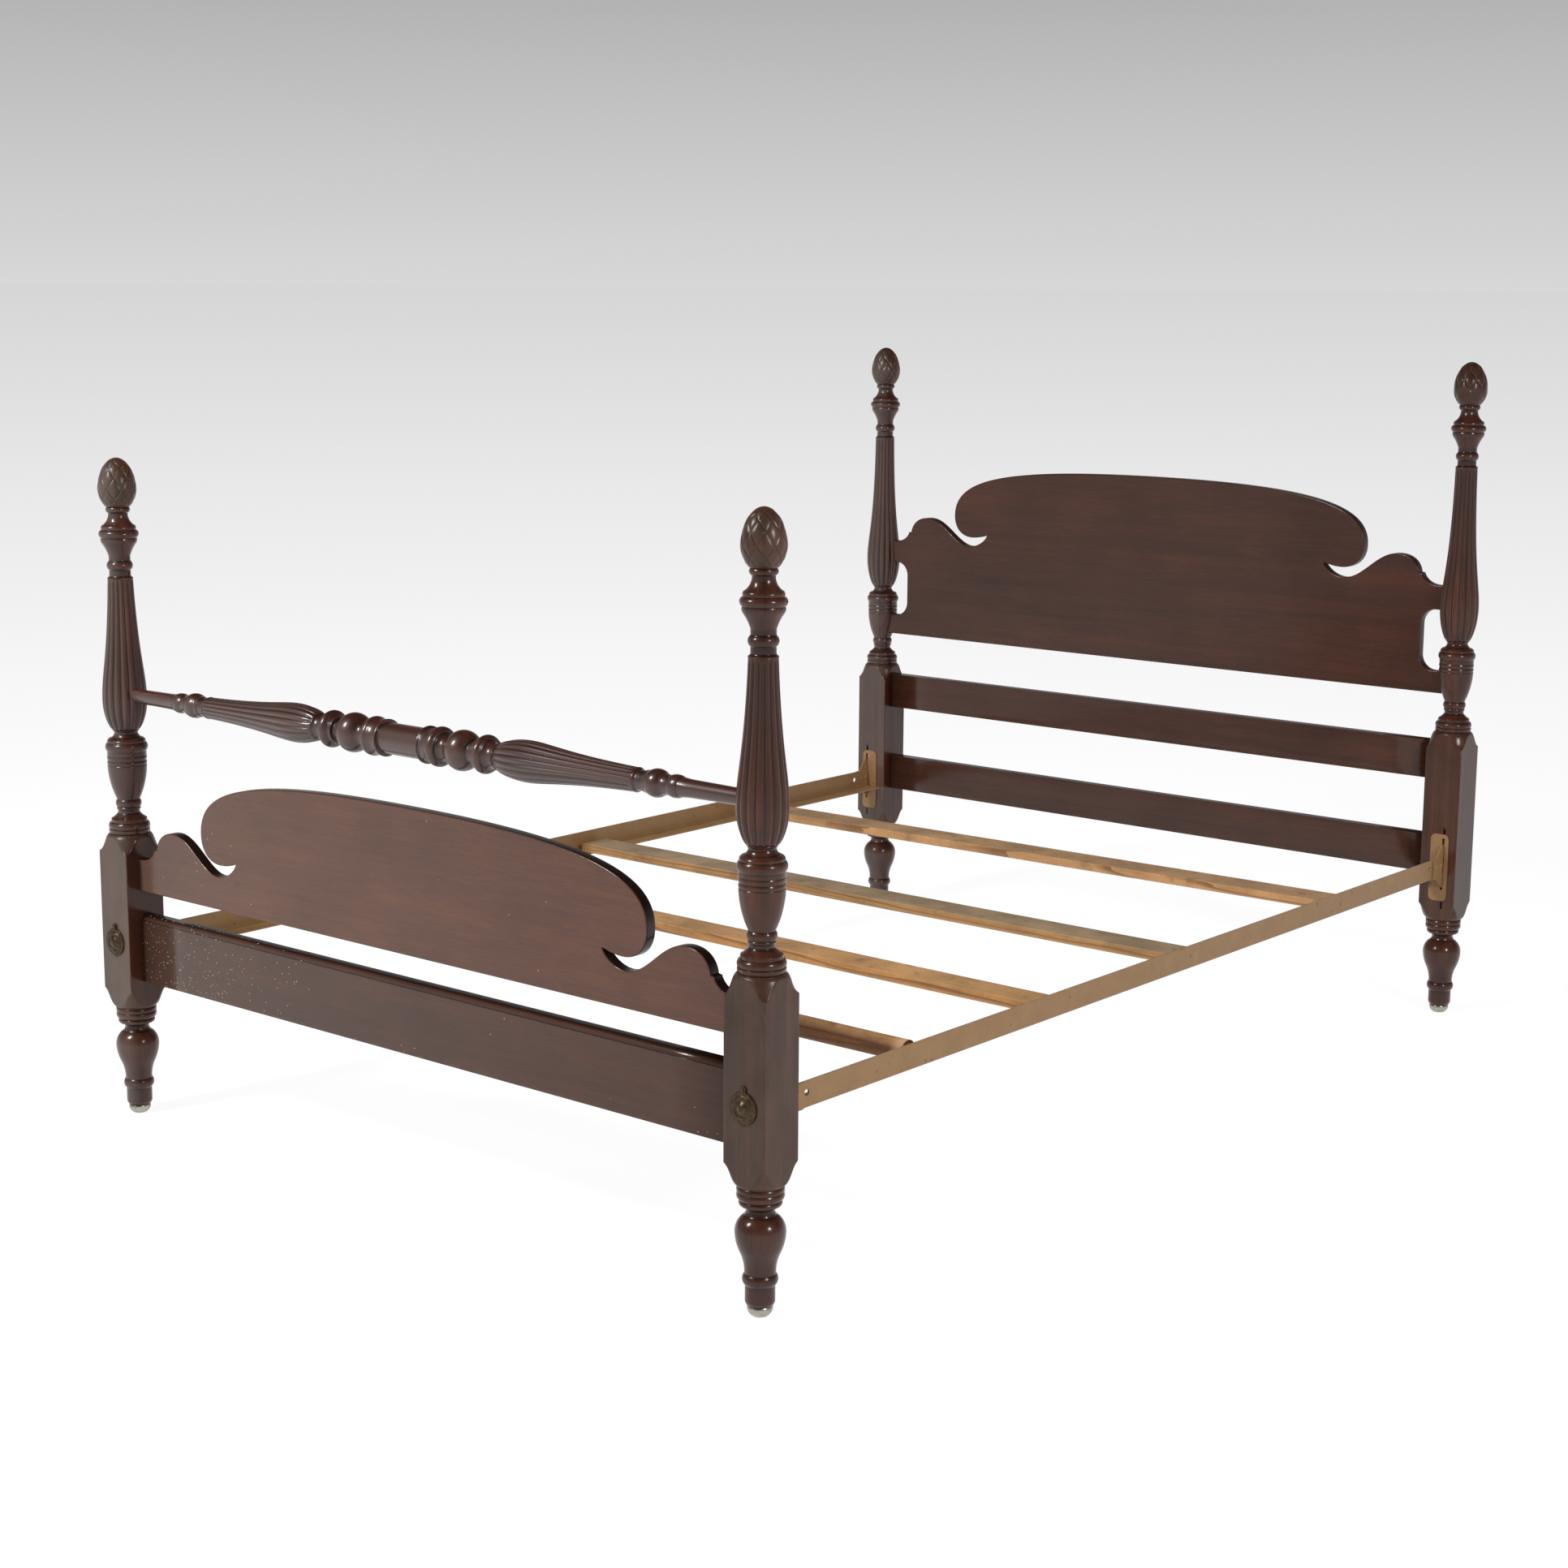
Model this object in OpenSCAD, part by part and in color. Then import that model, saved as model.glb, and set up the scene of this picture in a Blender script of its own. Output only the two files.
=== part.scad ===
// Four-poster bedstead with steel side rails.
// X runs across the bed, Y from foot (-) to head (+), Z up from the floor. Millimetres.

/* [Bed] */
// Distance between the post axes across the bed
bed_w = 1375; // [950:5:1700]
// Distance between the post axes along the bed
bed_l = 2040; // [1800:5:2200]

/* [Posts] */
// Side of the square blank each post is turned from
post_side = 72.4; // [68:0.2:80]
// Height of the turned leg below its square block
leg_turn_h = 171.4; // [150:0.2:220]
// Height of the foot post's block between its corner points
foot_block_h = 233.8; // [228:0.2:280]
// Height of the head post's block between its corner points
head_block_h = 303.8; // [290:0.2:350]
// Height of the urn turning between block and reeded vase
urn_turn_h = 174.5; // [160:0.5:200]
// Height of the foot post's reeded vase
foot_vase_h = 250; // [200:1:320]
// Height of the head post's reeded vase
head_vase_h = 327; // [280:1:420]
// Height of the finial above the vase
finial_h = 196; // [160:1:230]

/* [Reeds] */
// Reeds round each vase
reeds = 16; // [10:1:18]
// Depth of the grooves between reeds, as a share of the radius there
reed_sink = 0.085; // [0.03:0.005:0.12]
// Length over which a groove runs out at its ends
reed_end = 9; // [4:0.5:14]

/* [Floor glides] */
// Height of the glide under the leg
glide_h = 15.8; // [12:0.2:20]
// Radius of the glide
glide_r = 18; // [15:0.2:20]
// Radius of the glide's stem
glide_stem_r = 4; // [3:0.1:5]
// Length of the glide's stem in the leg
glide_stem_l = 28; // [18:1:36]

/* [Scrolled boards] */
// Thickness of the headboard panel and the foot board
board_t = 19; // [15:0.5:24]
// Height of the crest above the board's shoulder at the post
crest_h = 173; // [140:1:210]
// How far short of the post axis a board's end stops
board_end = 12; // [10:0.5:15]
// Height of the foot board at the post
foot_board_side_h = 53.5; // [40:0.5:54]
// How far the foot board's shoulder sits below the block's top corner
foot_board_drop = 10; // [4:0.5:20]
// Height of the headboard at the post, from its lower edge to its shoulder
head_board_side_h = 206; // [190:1:230]
// Share of the urn turning that lies below the headboard's lower edge
head_board_seat = 0.41; // [0.38:0.01:0.44]
// Height of the tab let into the urn
low_tab_h = 42.5; // [30:0.5:50]
// Height of the tab let into the vase
high_tab_h = 46.5; // [30:0.5:60]
// Width of the opening between the headboard and the post's block line
notch_w = 37.3; // [30:0.1:60]
// Corner radius of that opening
notch_r = 29; // [15:0.5:29]

/* [Cross rails] */
// Thickness of the two headboard rails
head_rail_t = 25; // [18:0.5:30]
// Height of the headboard's upper rail
upper_rail_h = 73.5; // [60:0.5:90]
// How far the upper rail rises above the block's top corner
upper_rail_rise = 9; // [0:0.5:12]
// Height of the headboard's lower rail
lower_rail_h = 74; // [60:0.5:90]
// Lower rail's height above the block's bottom corner
lower_rail_lift = 55.3; // [40:0.1:70]
// Thickness of the foot rail
foot_rail_t = 22; // [18:0.5:30]
// Height of the foot rail
foot_rail_h = 114; // [95:0.5:120]
// Foot rail's height above the block's bottom corner
foot_rail_lift = 15.8; // [8:0.2:24]
// How far the foot rail's face lies in front of the post axis
foot_rail_front = 9.5; // [8:0.5:12]
// Height of the foot rail's moulded top edge
ovolo_h = 9; // [6:0.5:12]
// Depth of the foot rail's moulded top edge
ovolo_d = 10; // [6:0.5:12]
// Length of the tenons on the cross rails
tenon_l = 28; // [20:1:32]
// Thickness of the tenons on the cross rails
tenon_t = 12; // [8:0.5:14]
// Shoulder above and below each tenon
tenon_shoulder = 10; // [5:0.5:14]

/* [Blanket rail] */
// Blanket rail's height above the foot of the vases it joins
blanket_rail_lift = 59; // [45:0.5:100]
// Largest radius of the blanket rail
blanket_rail_r = 30.5; // [26:0.5:36]
// Radius of its round ends
blanket_end_r = 11.8; // [9:0.1:12.5]
// How far short of the post axis those ends stop
blanket_end = 8; // [6:0.5:14]

/* [Steel side rails] */
// Height of the side rails' underside
rail_z = 275; // [268:0.5:285]
// Width of each side of the steel angle
angle_w = 38; // [30:0.5:45]
// Thickness of the steel angle
angle_t = 3; // [2.5:0.1:4]
// Radius inside the angle's corner
angle_r = 4; // [2:0.5:5]
// Radius of the hole near each end of a side rail
rail_hole_r = 5; // [3:0.5:6]
// Distance of that hole from the slot plate
rail_hole_y = 48; // [46:0.5:80]
// Height of that hole above the underside
rail_hole_z = 21; // [14:0.5:24]
// Distance of the hook plane outside the post axis
hook_x = 10.2; // [8:0.2:16]

/* [Hook plates] */
// Thickness of the hook plate
hook_t = 3; // [2:0.1:3.4]
// How far the hook plate reaches out from the slot plate
hook_reach = 38; // [34:0.5:42]
// Height of the hook plate at the post
hook_h = 83; // [80:0.5:90]
// Lower hook pin's height below the rail's underside
pin_drop = 16; // [12:0.5:20]
// Distance between the two hook pins
pin_gap = 63; // [56:0.5:66]
// Radius of the hook pins
pin_r = 2.5; // [2:0.1:3]
// Depth of the hook pins behind the post's face
pin_depth = 14; // [12:0.5:16]
// Radius of the rivets' shanks
rivet_r = 3; // [2:0.1:3.5]
// Distance between a hook plate's rivets
rivet_gap = 16; // [13:0.5:18]

/* [Slot plates] */
// Width of the slot plate
plate_w = 36; // [33:0.5:40]
// Height of the slot plate
plate_h = 130; // [128:0.5:140]
// Thickness of the slot plate
plate_t = 2.5; // [1.5:0.1:3.5]
// Corner radius of the slot plate
plate_r = 10; // [2:0.5:12]
// How far the plate is set outward of the post axis
plate_x = 2.5; // [1:0.1:4]
// Width of its slot and of the saw kerf behind it
kerf_w = 5; // [4.4:0.1:7]
// Depth of the kerf in the post
kerf_d = 30; // [26:0.5:34]
// How far the kerf runs on above the plate
kerf_over = 9; // [4:0.5:14]
// How far the kerf runs on below the plate
kerf_under = 16; // [6:0.5:20]
// Radius of the plate screws' shanks
screw_r = 1.9; // [1.5:0.1:2.5]
// Radius of the plate screws' heads
screw_head_r = 3.9; // [3.2:0.1:4.4]
// Length of the plate screws
screw_l = 22; // [14:1:26]

/* [Slats] */
// Width of the two wide slats
slat_w = 67; // [50:0.5:90]
// Width of the narrow slat
narrow_slat_w = 60; // [40:0.5:80]
// Thickness of the slats
slat_t = 16; // [12:0.5:22]
// Radius of the round pole that serves as the fourth slat
pole_r = 17; // [13:0.5:20]
// Gap between each slat's ends and the steel angles
slat_end_gap = 14; // [4:0.5:20]

/* [Bolt covers] */
// Radius of the bolt cover
cover_r = 23; // [20:0.5:25]
// How far its dome stands out
cover_h = 8; // [6:0.5:11]
// Wall of the stamped cover
cover_wall = 1.4; // [1:0.1:1.8]
// Height of the cover's centre above the block's bottom corner
cover_lift = 82.8; // [70:0.2:110]
// Radius of the pin the cover swings on
cover_pin_r = 1.5; // [1.2:0.1:2]
// Radius of the ear round that pin
ear_r = 5.5; // [4.5:0.1:7]
// Radius of the bed-bolt pocket behind the cover
pocket_r = 12; // [8:0.5:14]
// Depth of the bed-bolt pocket
pocket_d = 14; // [8:0.5:18]

/* [Fits] */
// Gap round each tenon, dowel, stem and pin in its hole
fit = 0.15; // [0.1:0.05:0.3]
// Running gap between loose or swinging pieces
run_gap = 0.3; // [0.2:0.05:0.5]

/* [Hidden] */
$fn = 64;

// Finishes
mahogany = "#4a2a20";
mahogany_light = "#6a4438";
enamel = "#8f7b62";
zinc = "#8a8a86";
nickel = "#b9b6ae";
brass = "#7a6038";
pine = "#c08a58";
pole_brown = "#8a5a38";

HEAD = 1;
FOOT = -1;
LEFT = -1;
RIGHT = 1;
over = 1;            // how far a cutter runs past the face it opens
arc_steps = 5;       // straight pieces in an arc of a turned profile
curve_steps = 7;     // straight pieces in a board's curve

// ---- turned profiles: [radius, height, bulge of the stretch to the next row] ----
// Radii are drawn for a blank of drawn_side. A bulge over 0 is a bead and under 0 a cove;
// it is the arc's rise as a share of half its chord.
drawn_side = 72.4;

// Leg, up from its end: foot, ring, swelling shin, neck, two rings, plain collar
leg_rows = [
    [19, 0, 0], [21, 4.7, 0], [21, 27.6, 0],
    [21.4, 28.6, 0.42], [21.9, 44.7, -0.12], [28.6, 75.2, 0.1], [35.4, 103, 0.25],
    [24.3, 126.5, 0], [22.6, 127.6, -0.15], [19.5, 135.3, -0.3], [26.5, 141.4, 0],
    [28, 141.7, 0.5], [28.4, 149.4, 0], [30.6, 150.6, 0.42],
    [31.4, 161, 0], [33, 161.8, 0], [33, 171.4, 0],
];
// Urn turning, up from the block's shoulder: collar, ring, neck, beads, urn, rings, neck
urn_rows = [
    [33.2, 0, 0], [33.2, 8.5, 0], [31.8, 9.1, 0.4], [31, 20, 0], [29.3, 20.7, 0],
    [28.9, 26, -0.1], [18.1, 35.3, -0.15], [18.3, 41, 0.5], [18.6, 45.2, 0],
    [19, 45.7, 0.34], [18.8, 58, 0], [18.6, 58.6, 0.103], [31.9, 115.5, 0],
    [31.2, 116.6, 0.28], [31.2, 123.4, 0], [31.2, 124.5, 0.27], [31.4, 132, 0],
    [31.8, 132.8, 0], [31.8, 139.1, 0], [32.2, 139.8, 0.38], [31.8, 153, 0],
    [31.1, 153.7, 0], [31, 156.9, 0.25], [24.3, 161.5, -0.2], [19.1, 168.9, -0.15],
    [21.8, 174.5, 0],
];
// Finial, up from the vase: neck, bead, flare, three rings, cove, collar, acorn to its widest
finial_rows = [
    [20.8, 0, 0], [20.8, 1, -0.2], [17.3, 4.4, 0], [17.3, 13.6, 0], [18.2, 14.5, 0.44],
    [17.8, 28, 0], [17.2, 29.5, 0], [17.4, 37, -0.08], [27.4, 57.3, 0.27],
    [28.6, 66.3, 0], [29.2, 66.8, 0.5], [29.2, 78.4, 0], [27.2, 79, 0.34],
    [26.6, 86.2, 0], [25, 87, -0.22], [15.7, 103.7, 0], [15.7, 106.4, 0],
    [17.2, 107.4, 0.46], [17.6, 116.4, 0], [19.4, 117, 0.2], [31, 145.4, 0],
];
// Acorn above its widest place, to its tip
acorn_curve = [[31, 145.4], [31, 168], [17, 191], [0, 196]];
// Glide, up from the floor
glide_rows = [[11.5, 0, 0.2], [18, 9.7, 0.25], [16, 15.3, 0], [16, 15.8, 0]];
// Half of the blanket rail between its middle and the vase, then from the vase to the stem
middle_rows = [
    [23.8, 0, 0], [23.8, 43.6, 0], [28.1, 44.1, 0.25], [28.1, 47.4, 0], [25.9, 48.3, -0.13],
    [26.4, 60.8, 0], [27.9, 64.4, 0], [28, 65.4, 0.57], [23, 79.6, 0], [21.6, 80.2, -0.45],
    [21.4, 99.4, 0], [22.3, 100.2, 0.514], [17.9, 140, 0], [17, 141.2, -0.05],
    [17, 150.4, 0], [21.6, 151.4, 0], [22, 152.4, 0.1], [21.8, 158.6, 0], [25.6, 161, 0.62],
    [23.2, 174.9, 0], [21.6, 175.6, -0.4], [19.4, 197, 0], [21.2, 198, 0],
];
stem_rows = [
    [17.7, 0, 0], [16.5, 2.5, -0.2], [14.6, 6, 0], [14.6, 17, 0], [16.2, 18.5, 0],
    [16.4, 23, 0], [16.8, 24.5, 0.26], [17.8, 46, -0.15], [14.3, 56.5, 0], [14.3, 62, 0],
    [14.8, 63, 0.19], [14.6, 81, 0], [14, 81.6, 0],
];
drawn_blanket_r = 30.5;
vase_share = 0.7165;  // share of the blanket rail that its vases take, between middle and stem
// Reeded vases as radius against share of the height: swelling foot, then long taper
foot_vase = [[[21.2, 0], [25.5, 0.005], [36, 0.09], [36, 0.2]],
             [[36, 0.2], [36, 0.38], [25, 0.48], [20.3, 1]]];
head_vase = [[[21.2, 0], [25.5, 0.005], [36, 0.085], [36, 0.19]],
             [[36, 0.19], [36, 0.34], [22.5, 0.4], [20.3, 1]]];
rail_vase = [[[20.5, 0], [24.5, 0.03], [30.3, 0.09], [30.3, 0.21]],
             [[30.3, 0.21], [30.3, 0.345], [20.5, 0.48], [17.2, 1]]];
vase_foot_steps = 5;
vase_taper_steps = 7;
reed_steps = 4;      // facets across one reed

// Block's shoulder curves as [radius, distance outside the corner point]
block_top_curve = [[51.4, -0.5], [40.5, 4], [41.5, 23], [34.5, 28.5]];
block_foot_curve = [[34, -31], [42.5, -25], [42, -6], [51.4, 0]];

// ---- sizes that follow ----
turn = post_side / drawn_side;
post_half = post_side / 2;
block_z = glide_h + leg_turn_h - block_foot_curve[0][1];
foot_block_top = block_z + foot_block_h;
head_block_top = block_z + head_block_h;
shoulder_h = block_top_curve[3][1];
foot_vase_z = foot_block_top + shoulder_h + urn_turn_h;
head_vase_z = head_block_top + shoulder_h + urn_turn_h;
foot_finial_z = foot_vase_z + foot_vase_h;
head_finial_z = head_vase_z + head_vase_h;
span = bed_w / 2 - post_half;          // half the clear width between the blocks
cover_out = run_gap + cover_h;
mid_y = cover_out / 2;                 // keeps the whole bed centred on Y = 0
board_reach = bed_w / 2 - board_end;   // half the length of a scrolled board
foot_shoulder_z = foot_block_top - foot_board_drop;
foot_board_z = foot_shoulder_z - foot_board_side_h;
head_board_z = head_block_top + shoulder_h + head_board_seat * urn_turn_h;
head_shoulder_z = head_board_z + head_board_side_h;
upper_rail_z = head_block_top + upper_rail_rise - upper_rail_h;
lower_rail_z = block_z + lower_rail_lift;
foot_rail_z = block_z + foot_rail_lift;
blanket_rail_z = foot_vase_z + blanket_rail_lift;
blanket_turn = blanket_rail_r / drawn_blanket_r;
blanket_reach = bed_w / 2 - blanket_end;
dowel_r = 6;
dowel_l = 24;
pin_z = rail_z - pin_drop;
pin_l = post_half + hook_x + kerf_w / 2 + 7;  // from the post's inner face past the kerf
pin_sunk = 1.5;                        // how far the pin is driven below that face
hook_low = pin_z - 5;                  // underside of the hook plate at the post
hook_slope = 12;                       // run of the hook plate's sloping edges
beak = 8;                              // hook's beak beyond and below the pin
plate_face = post_half + plate_t;
plate_z = rail_z + angle_w / 2 - 2 - plate_h / 2;
kerf_z = plate_z - kerf_under;
lift_off = beak + pin_r + 1;           // how far a side rail rises to leave its pins
slot_z = pin_z - beak - 2;
slot_h = hook_low + hook_h + lift_off + 1 - slot_z;
screw_x = plate_x - plate_w / 2 + 8;
screw_zs = [plate_z + 9, plate_z + plate_h / 2, plate_z + plate_h - 9];
angle_x = hook_x - hook_t / 2;         // outer face of the angle, from the post axis
rail_gap = 2;                          // gap between a side rail's end and the slot plate
rivet_y = plate_face + 8;
rivet_z = rail_z + angle_w / 2 + 4;
rivet_head_r = rivet_r * 1.8;
rivet_head_h = rivet_r * 0.8;
slat_half = bed_w / 2 + angle_x - angle_t - slat_end_gap;
slat_z = rail_z + angle_t + run_gap;
// Where the loose slats lie along the bed, and how far each is turned askew
slat_y = [for (share = [0.2897, 0.0417, -0.1515, -0.3343]) share * bed_l];
slat_skew = [1.4, 0.4, -0.5, 0];
slat_ease = 1.5;
cover_z = block_z + cover_lift;
ear_t = 1.8;
cover_pin_z = cover_z + cover_r + ear_r / 2;
cover_pin_l = 14;
cover_head_r = cover_pin_r * 2;
cover_head_h = 1.6;

// ---- functions ----
function bezier_at(p, t) =
    pow(1 - t, 3) * p[0] + 3 * pow(1 - t, 2) * t * p[1] + 3 * (1 - t) * t * t * p[2] + pow(t, 3) * p[3];
function bezier(p, n) = [for (i = [0:n]) bezier_at(p, i / n)];
// Points after p on the arc from p to q that rises bulge half-chords to the right
function arc(p, q, bulge) = bulge == 0 ? [q] :
    let (c = q - p, h = norm(c) / 2, along = c / norm(c), out = [along[1], -along[0]],
         r = h * (1 + bulge * bulge) / (2 * bulge), half = 2 * atan(bulge))
    [for (i = [1:arc_steps]) let (a = half * (2 * i / arc_steps - 1))
        (p + q) / 2 + out * (r * cos(a) - r + bulge * h) + along * r * sin(a)];
// Outline of turned rows, radii times k and heights stretched to the height h
function turned(rows, k, h) =
    let (last = len(rows) - 1, f = h / rows[last][1],
         p = [for (row = rows) [row[0] * k, row[1] * f]])
    concat([p[0]], [for (i = [0:last - 1]) each arc(p[i], p[i + 1], rows[i][2])]);
function raised(points, z) = [for (p = points) p + [0, z]];
function widened(points, k) = [for (p = points) [p[0] * k, p[1]]];
function reversed(list) = [for (i = [len(list) - 1:-1:0]) list[i]];
function mirrored(points) = [for (p = points) [-p[0], p[1]]];

// Crest, scroll, hump and shoulder of a board's right half, above its shoulder height
function crest_half() = let (e = span, volute = e - 163.3) concat(
    bezier([[0, crest_h], [volute * 0.75, crest_h], [volute, crest_h - 29], [volute, 66]], curve_steps),
    bezier([[volute, 66], [volute, 36], [e - 183.3, 20], [e - 210.3, 20]], curve_steps),
    bezier([[e - 210.3, 20], [e - 226.3, 20], [e - 239.3, 24], [e - 249.3, 27]], curve_steps),
    bezier([[e - 249.3, 27], [e - 243.3, 13], [e - 223.3, 1], [e - 204.3, 1]], curve_steps),
    bezier([[e - 204.3, 1], [e - 163.3, 1], [e - 136.3, 55], [e - 91.3, 55]], curve_steps),
    bezier([[e - 91.3, 55], [e - 66.3, 55], [e - 49.3, 42], [e - 46.3, 22]], curve_steps),
    bezier([[e - 40.3, 21], [e - 37.3, 10], [e - 23.3, 0], [e - 6.3, 0]], curve_steps));

// Rows of a reeded vase as [radius, share of height]
function vase_rows(vase) = concat(
    bezier(vase[0], vase_foot_steps),
    [for (i = [1:vase_taper_steps]) bezier_at(vase[1], i / vase_taper_steps)]);

// ---- shared forms ----
module flipped(axis, on) {
    if (on) mirror(axis) children();
    else children();
}

// Puts a form drawn at the right-hand head corner at any corner: +X is outward there,
// -Y is towards the bed's middle, and Z starts at the floor on the post's axis
module at_corner(end, side) {
    translate([side * bed_w / 2, end * bed_l / 2 + mid_y, 0])
        flipped([1, 0, 0], side == LEFT)
            flipped([0, 1, 0], end == FOOT)
                children();
}

module lathe(points) {
    bottom = points[0][1];
    top = points[len(points) - 1][1];
    rotate_extrude() polygon(concat([[0, bottom]], points, [[0, top]]));
}

// Vase of convex reeds with sharp grooves between them; its ends are round and flat
module reeded_vase(vase, k, h) {
    rows = vase_rows(vase);
    n = reeds * reed_steps;
    m = len(rows);
    points = [for (row = rows)
        let (z = row[1] * h, sink = reed_sink * sin(90 * min(1, z / reed_end, (h - z) / reed_end)))
        for (i = [0:n - 1])
            let (t = 2 * (i % reed_steps) / reed_steps - 1, r = row[0] * k * (1 - sink * t * t))
            [r * cos(360 * i / n), r * sin(360 * i / n), z]];
    sides = [for (j = [0:m - 2]) for (i = [0:n - 1])
        let (a = j * n + i, b = j * n + (i + 1) % n)
        each [[a, a + n, b + n], [a, b + n, b]]];
    bottom = [for (i = [0:n - 1]) i];
    top = [for (i = [n - 1:-1:0]) (m - 1) * n + i];
    polyhedron(points, concat([bottom], sides, [top]));
}

// Turning of a post from its leg to the foot of its vase, with the block still round
module post_turning(block_top) {
    leg_top = glide_h + leg_turn_h;
    leg = raised(turned(leg_rows, turn, leg_turn_h), glide_h);
    block_foot = raised(widened(bezier(block_foot_curve, curve_steps), turn), block_z);
    block_head = raised(widened(bezier(block_top_curve, curve_steps), turn), block_top);
    urn = raised(turned(urn_rows, turn, urn_turn_h), block_top + shoulder_h);
    intersection() {
        lathe(concat(leg, block_foot, block_head, urn));
        union() {
            translate([-post_half, -post_half, leg_top - 2])
                cube([post_side, post_side, block_top + shoulder_h + 4 - leg_top]);
            cylinder(r = post_side, h = leg_top - 1);
            translate([0, 0, block_top + shoulder_h + 1])
                cylinder(r = post_side, h = urn_turn_h + over);
        }
    }
}

// Saw kerf, pin holes and screw holes that take a side rail's hooks and slot plate
module rail_seat_cuts() {
    translate([hook_x - kerf_w / 2, -post_half - over, kerf_z])
        cube([kerf_w, kerf_d + over, plate_h + kerf_under + kerf_over]);
    for (z = [pin_z, pin_z + pin_gap])
        translate([-post_half - over, pin_depth - post_half, z])
            rotate([0, 90, 0])
                cylinder(r = pin_r + fit, h = over + pin_l + fit);
    for (z = screw_zs)
        translate([screw_x, -post_half - over, z])
            rotate([-90, 0, 0])
                cylinder(r = screw_r + fit, h = screw_l - plate_t + fit + over);
}

module glide_hole() {
    translate([0, 0, glide_h - over])
        cylinder(r = glide_stem_r + fit, h = glide_stem_l + over + fit);
}

module dowel_hole(z) {
    translate([0, 0, z - dowel_l - fit])
        cylinder(r = dowel_r + fit, h = dowel_l + fit + over);
}

// Slot let into a post from the inner side, for a board's or tenon's end
module mortise(stop, thick, z, h, y = 0) {
    translate([-post_side, y - thick / 2 - fit, z - fit])
        cube([post_side - stop + fit, thick + 2 * fit, h + 2 * fit]);
}

// ---- posts ----
module foot_post(side) {
    color(mahogany) at_corner(FOOT, side) difference() {
        union() {
            post_turning(foot_block_top);
            translate([0, 0, foot_vase_z]) reeded_vase(foot_vase, turn, foot_vase_h);
        }
        rail_seat_cuts();
        glide_hole();
        dowel_hole(foot_finial_z);
        mortise(board_end, board_t, foot_board_z, foot_board_side_h);
        mortise(post_half - tenon_l, tenon_t, foot_rail_z + tenon_shoulder,
                foot_rail_h - 2 * tenon_shoulder);
        translate([-post_side, 0, blanket_rail_z])
            rotate([0, 90, 0])
                cylinder(r = blanket_end_r + fit, h = post_side - blanket_end + fit);
        translate([0, post_half - pocket_d, cover_z])
            rotate([-90, 0, 0])
                cylinder(r = pocket_r, h = pocket_d + over);
        translate([0, post_half - cover_pin_l - fit, cover_pin_z])
            rotate([-90, 0, 0])
                cylinder(r = cover_pin_r + fit, h = cover_pin_l + fit + over);
    }
}

module head_post(side) {
    color(mahogany) at_corner(HEAD, side) difference() {
        union() {
            post_turning(head_block_top);
            translate([0, 0, head_vase_z]) reeded_vase(head_vase, turn, head_vase_h);
        }
        rail_seat_cuts();
        glide_hole();
        dowel_hole(head_finial_z);
        mortise(board_end, board_t, head_board_z, low_tab_h);
        mortise(board_end, board_t, head_shoulder_z - high_tab_h, high_tab_h);
        mortise(post_half - tenon_l, tenon_t, upper_rail_z + tenon_shoulder,
                upper_rail_h - 2 * tenon_shoulder);
        mortise(post_half - tenon_l, tenon_t, lower_rail_z + tenon_shoulder,
                lower_rail_h - 2 * tenon_shoulder);
    }
}

module finial(end, side, z) {
    f = finial_h / acorn_curve[3][1];
    acorn = [for (p = bezier(acorn_curve, 2 * curve_steps)) [p[0] * turn, p[1] * f]];
    points = concat(turned(finial_rows, turn, finial_rows[len(finial_rows) - 1][1] * f), acorn);
    color(mahogany) at_corner(end, side) translate([0, 0, z]) difference() {
        lathe(points);
        translate([0, 0, -over]) cylinder(r = dowel_r + fit, h = dowel_l + fit + over);
    }
}

module finial_dowels() {
    color(pine)
        for (side = [LEFT, RIGHT]) {
            at_corner(FOOT, side) finial_dowel(foot_finial_z);
            at_corner(HEAD, side) finial_dowel(head_finial_z);
        }
}

module finial_dowel(z) {
    translate([0, 0, z - dowel_l]) cylinder(r = dowel_r, h = 2 * dowel_l);
}

module glide(end, side) {
    k = glide_r / glide_rows[1][0];
    color(nickel) at_corner(end, side) {
        lathe(turned(glide_rows, k, glide_h));
        translate([0, 0, glide_h - over])
            cylinder(r = glide_stem_r, h = glide_stem_l + over);
    }
}

// ---- boards and cross rails ----
module standing_board(points, t, front) {
    translate([0, front + t, 0]) rotate([90, 0, 0]) linear_extrude(t) polygon(points);
}

module foot_board() {
    half = concat(raised(crest_half(), foot_shoulder_z),
                  [[board_reach, foot_shoulder_z], [board_reach, foot_board_z]]);
    color(mahogany_light) translate([0, FOOT * bed_l / 2 + mid_y, 0])
        standing_board(concat(half, mirrored(reversed(half))), board_t, -board_t / 2);
}

module head_board() {
    inner = span - notch_w;
    low = head_board_z + low_tab_h;
    high = head_shoulder_z - high_tab_h;
    r = notch_r;
    corner = [for (i = [0:curve_steps]) 90 * i / curve_steps];
    half = concat(raised(crest_half(), head_shoulder_z),
        [[board_reach, head_shoulder_z], [board_reach, high]],
        [for (a = corner) [inner + r - r * sin(a), high - r + r * cos(a)]],
        [for (a = corner) [inner + r - r * cos(a), low + r - r * sin(a)]],
        [[board_reach, low], [board_reach, head_board_z]]);
    color(mahogany_light) translate([0, HEAD * bed_l / 2 + mid_y, 0])
        standing_board(concat(half, mirrored(reversed(half))), board_t, -board_t / 2);
}

module rail_tenons(z, h) {
    translate([-span - tenon_l, -tenon_t / 2, z + tenon_shoulder])
        cube([2 * (span + tenon_l), tenon_t, h - 2 * tenon_shoulder]);
}

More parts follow.
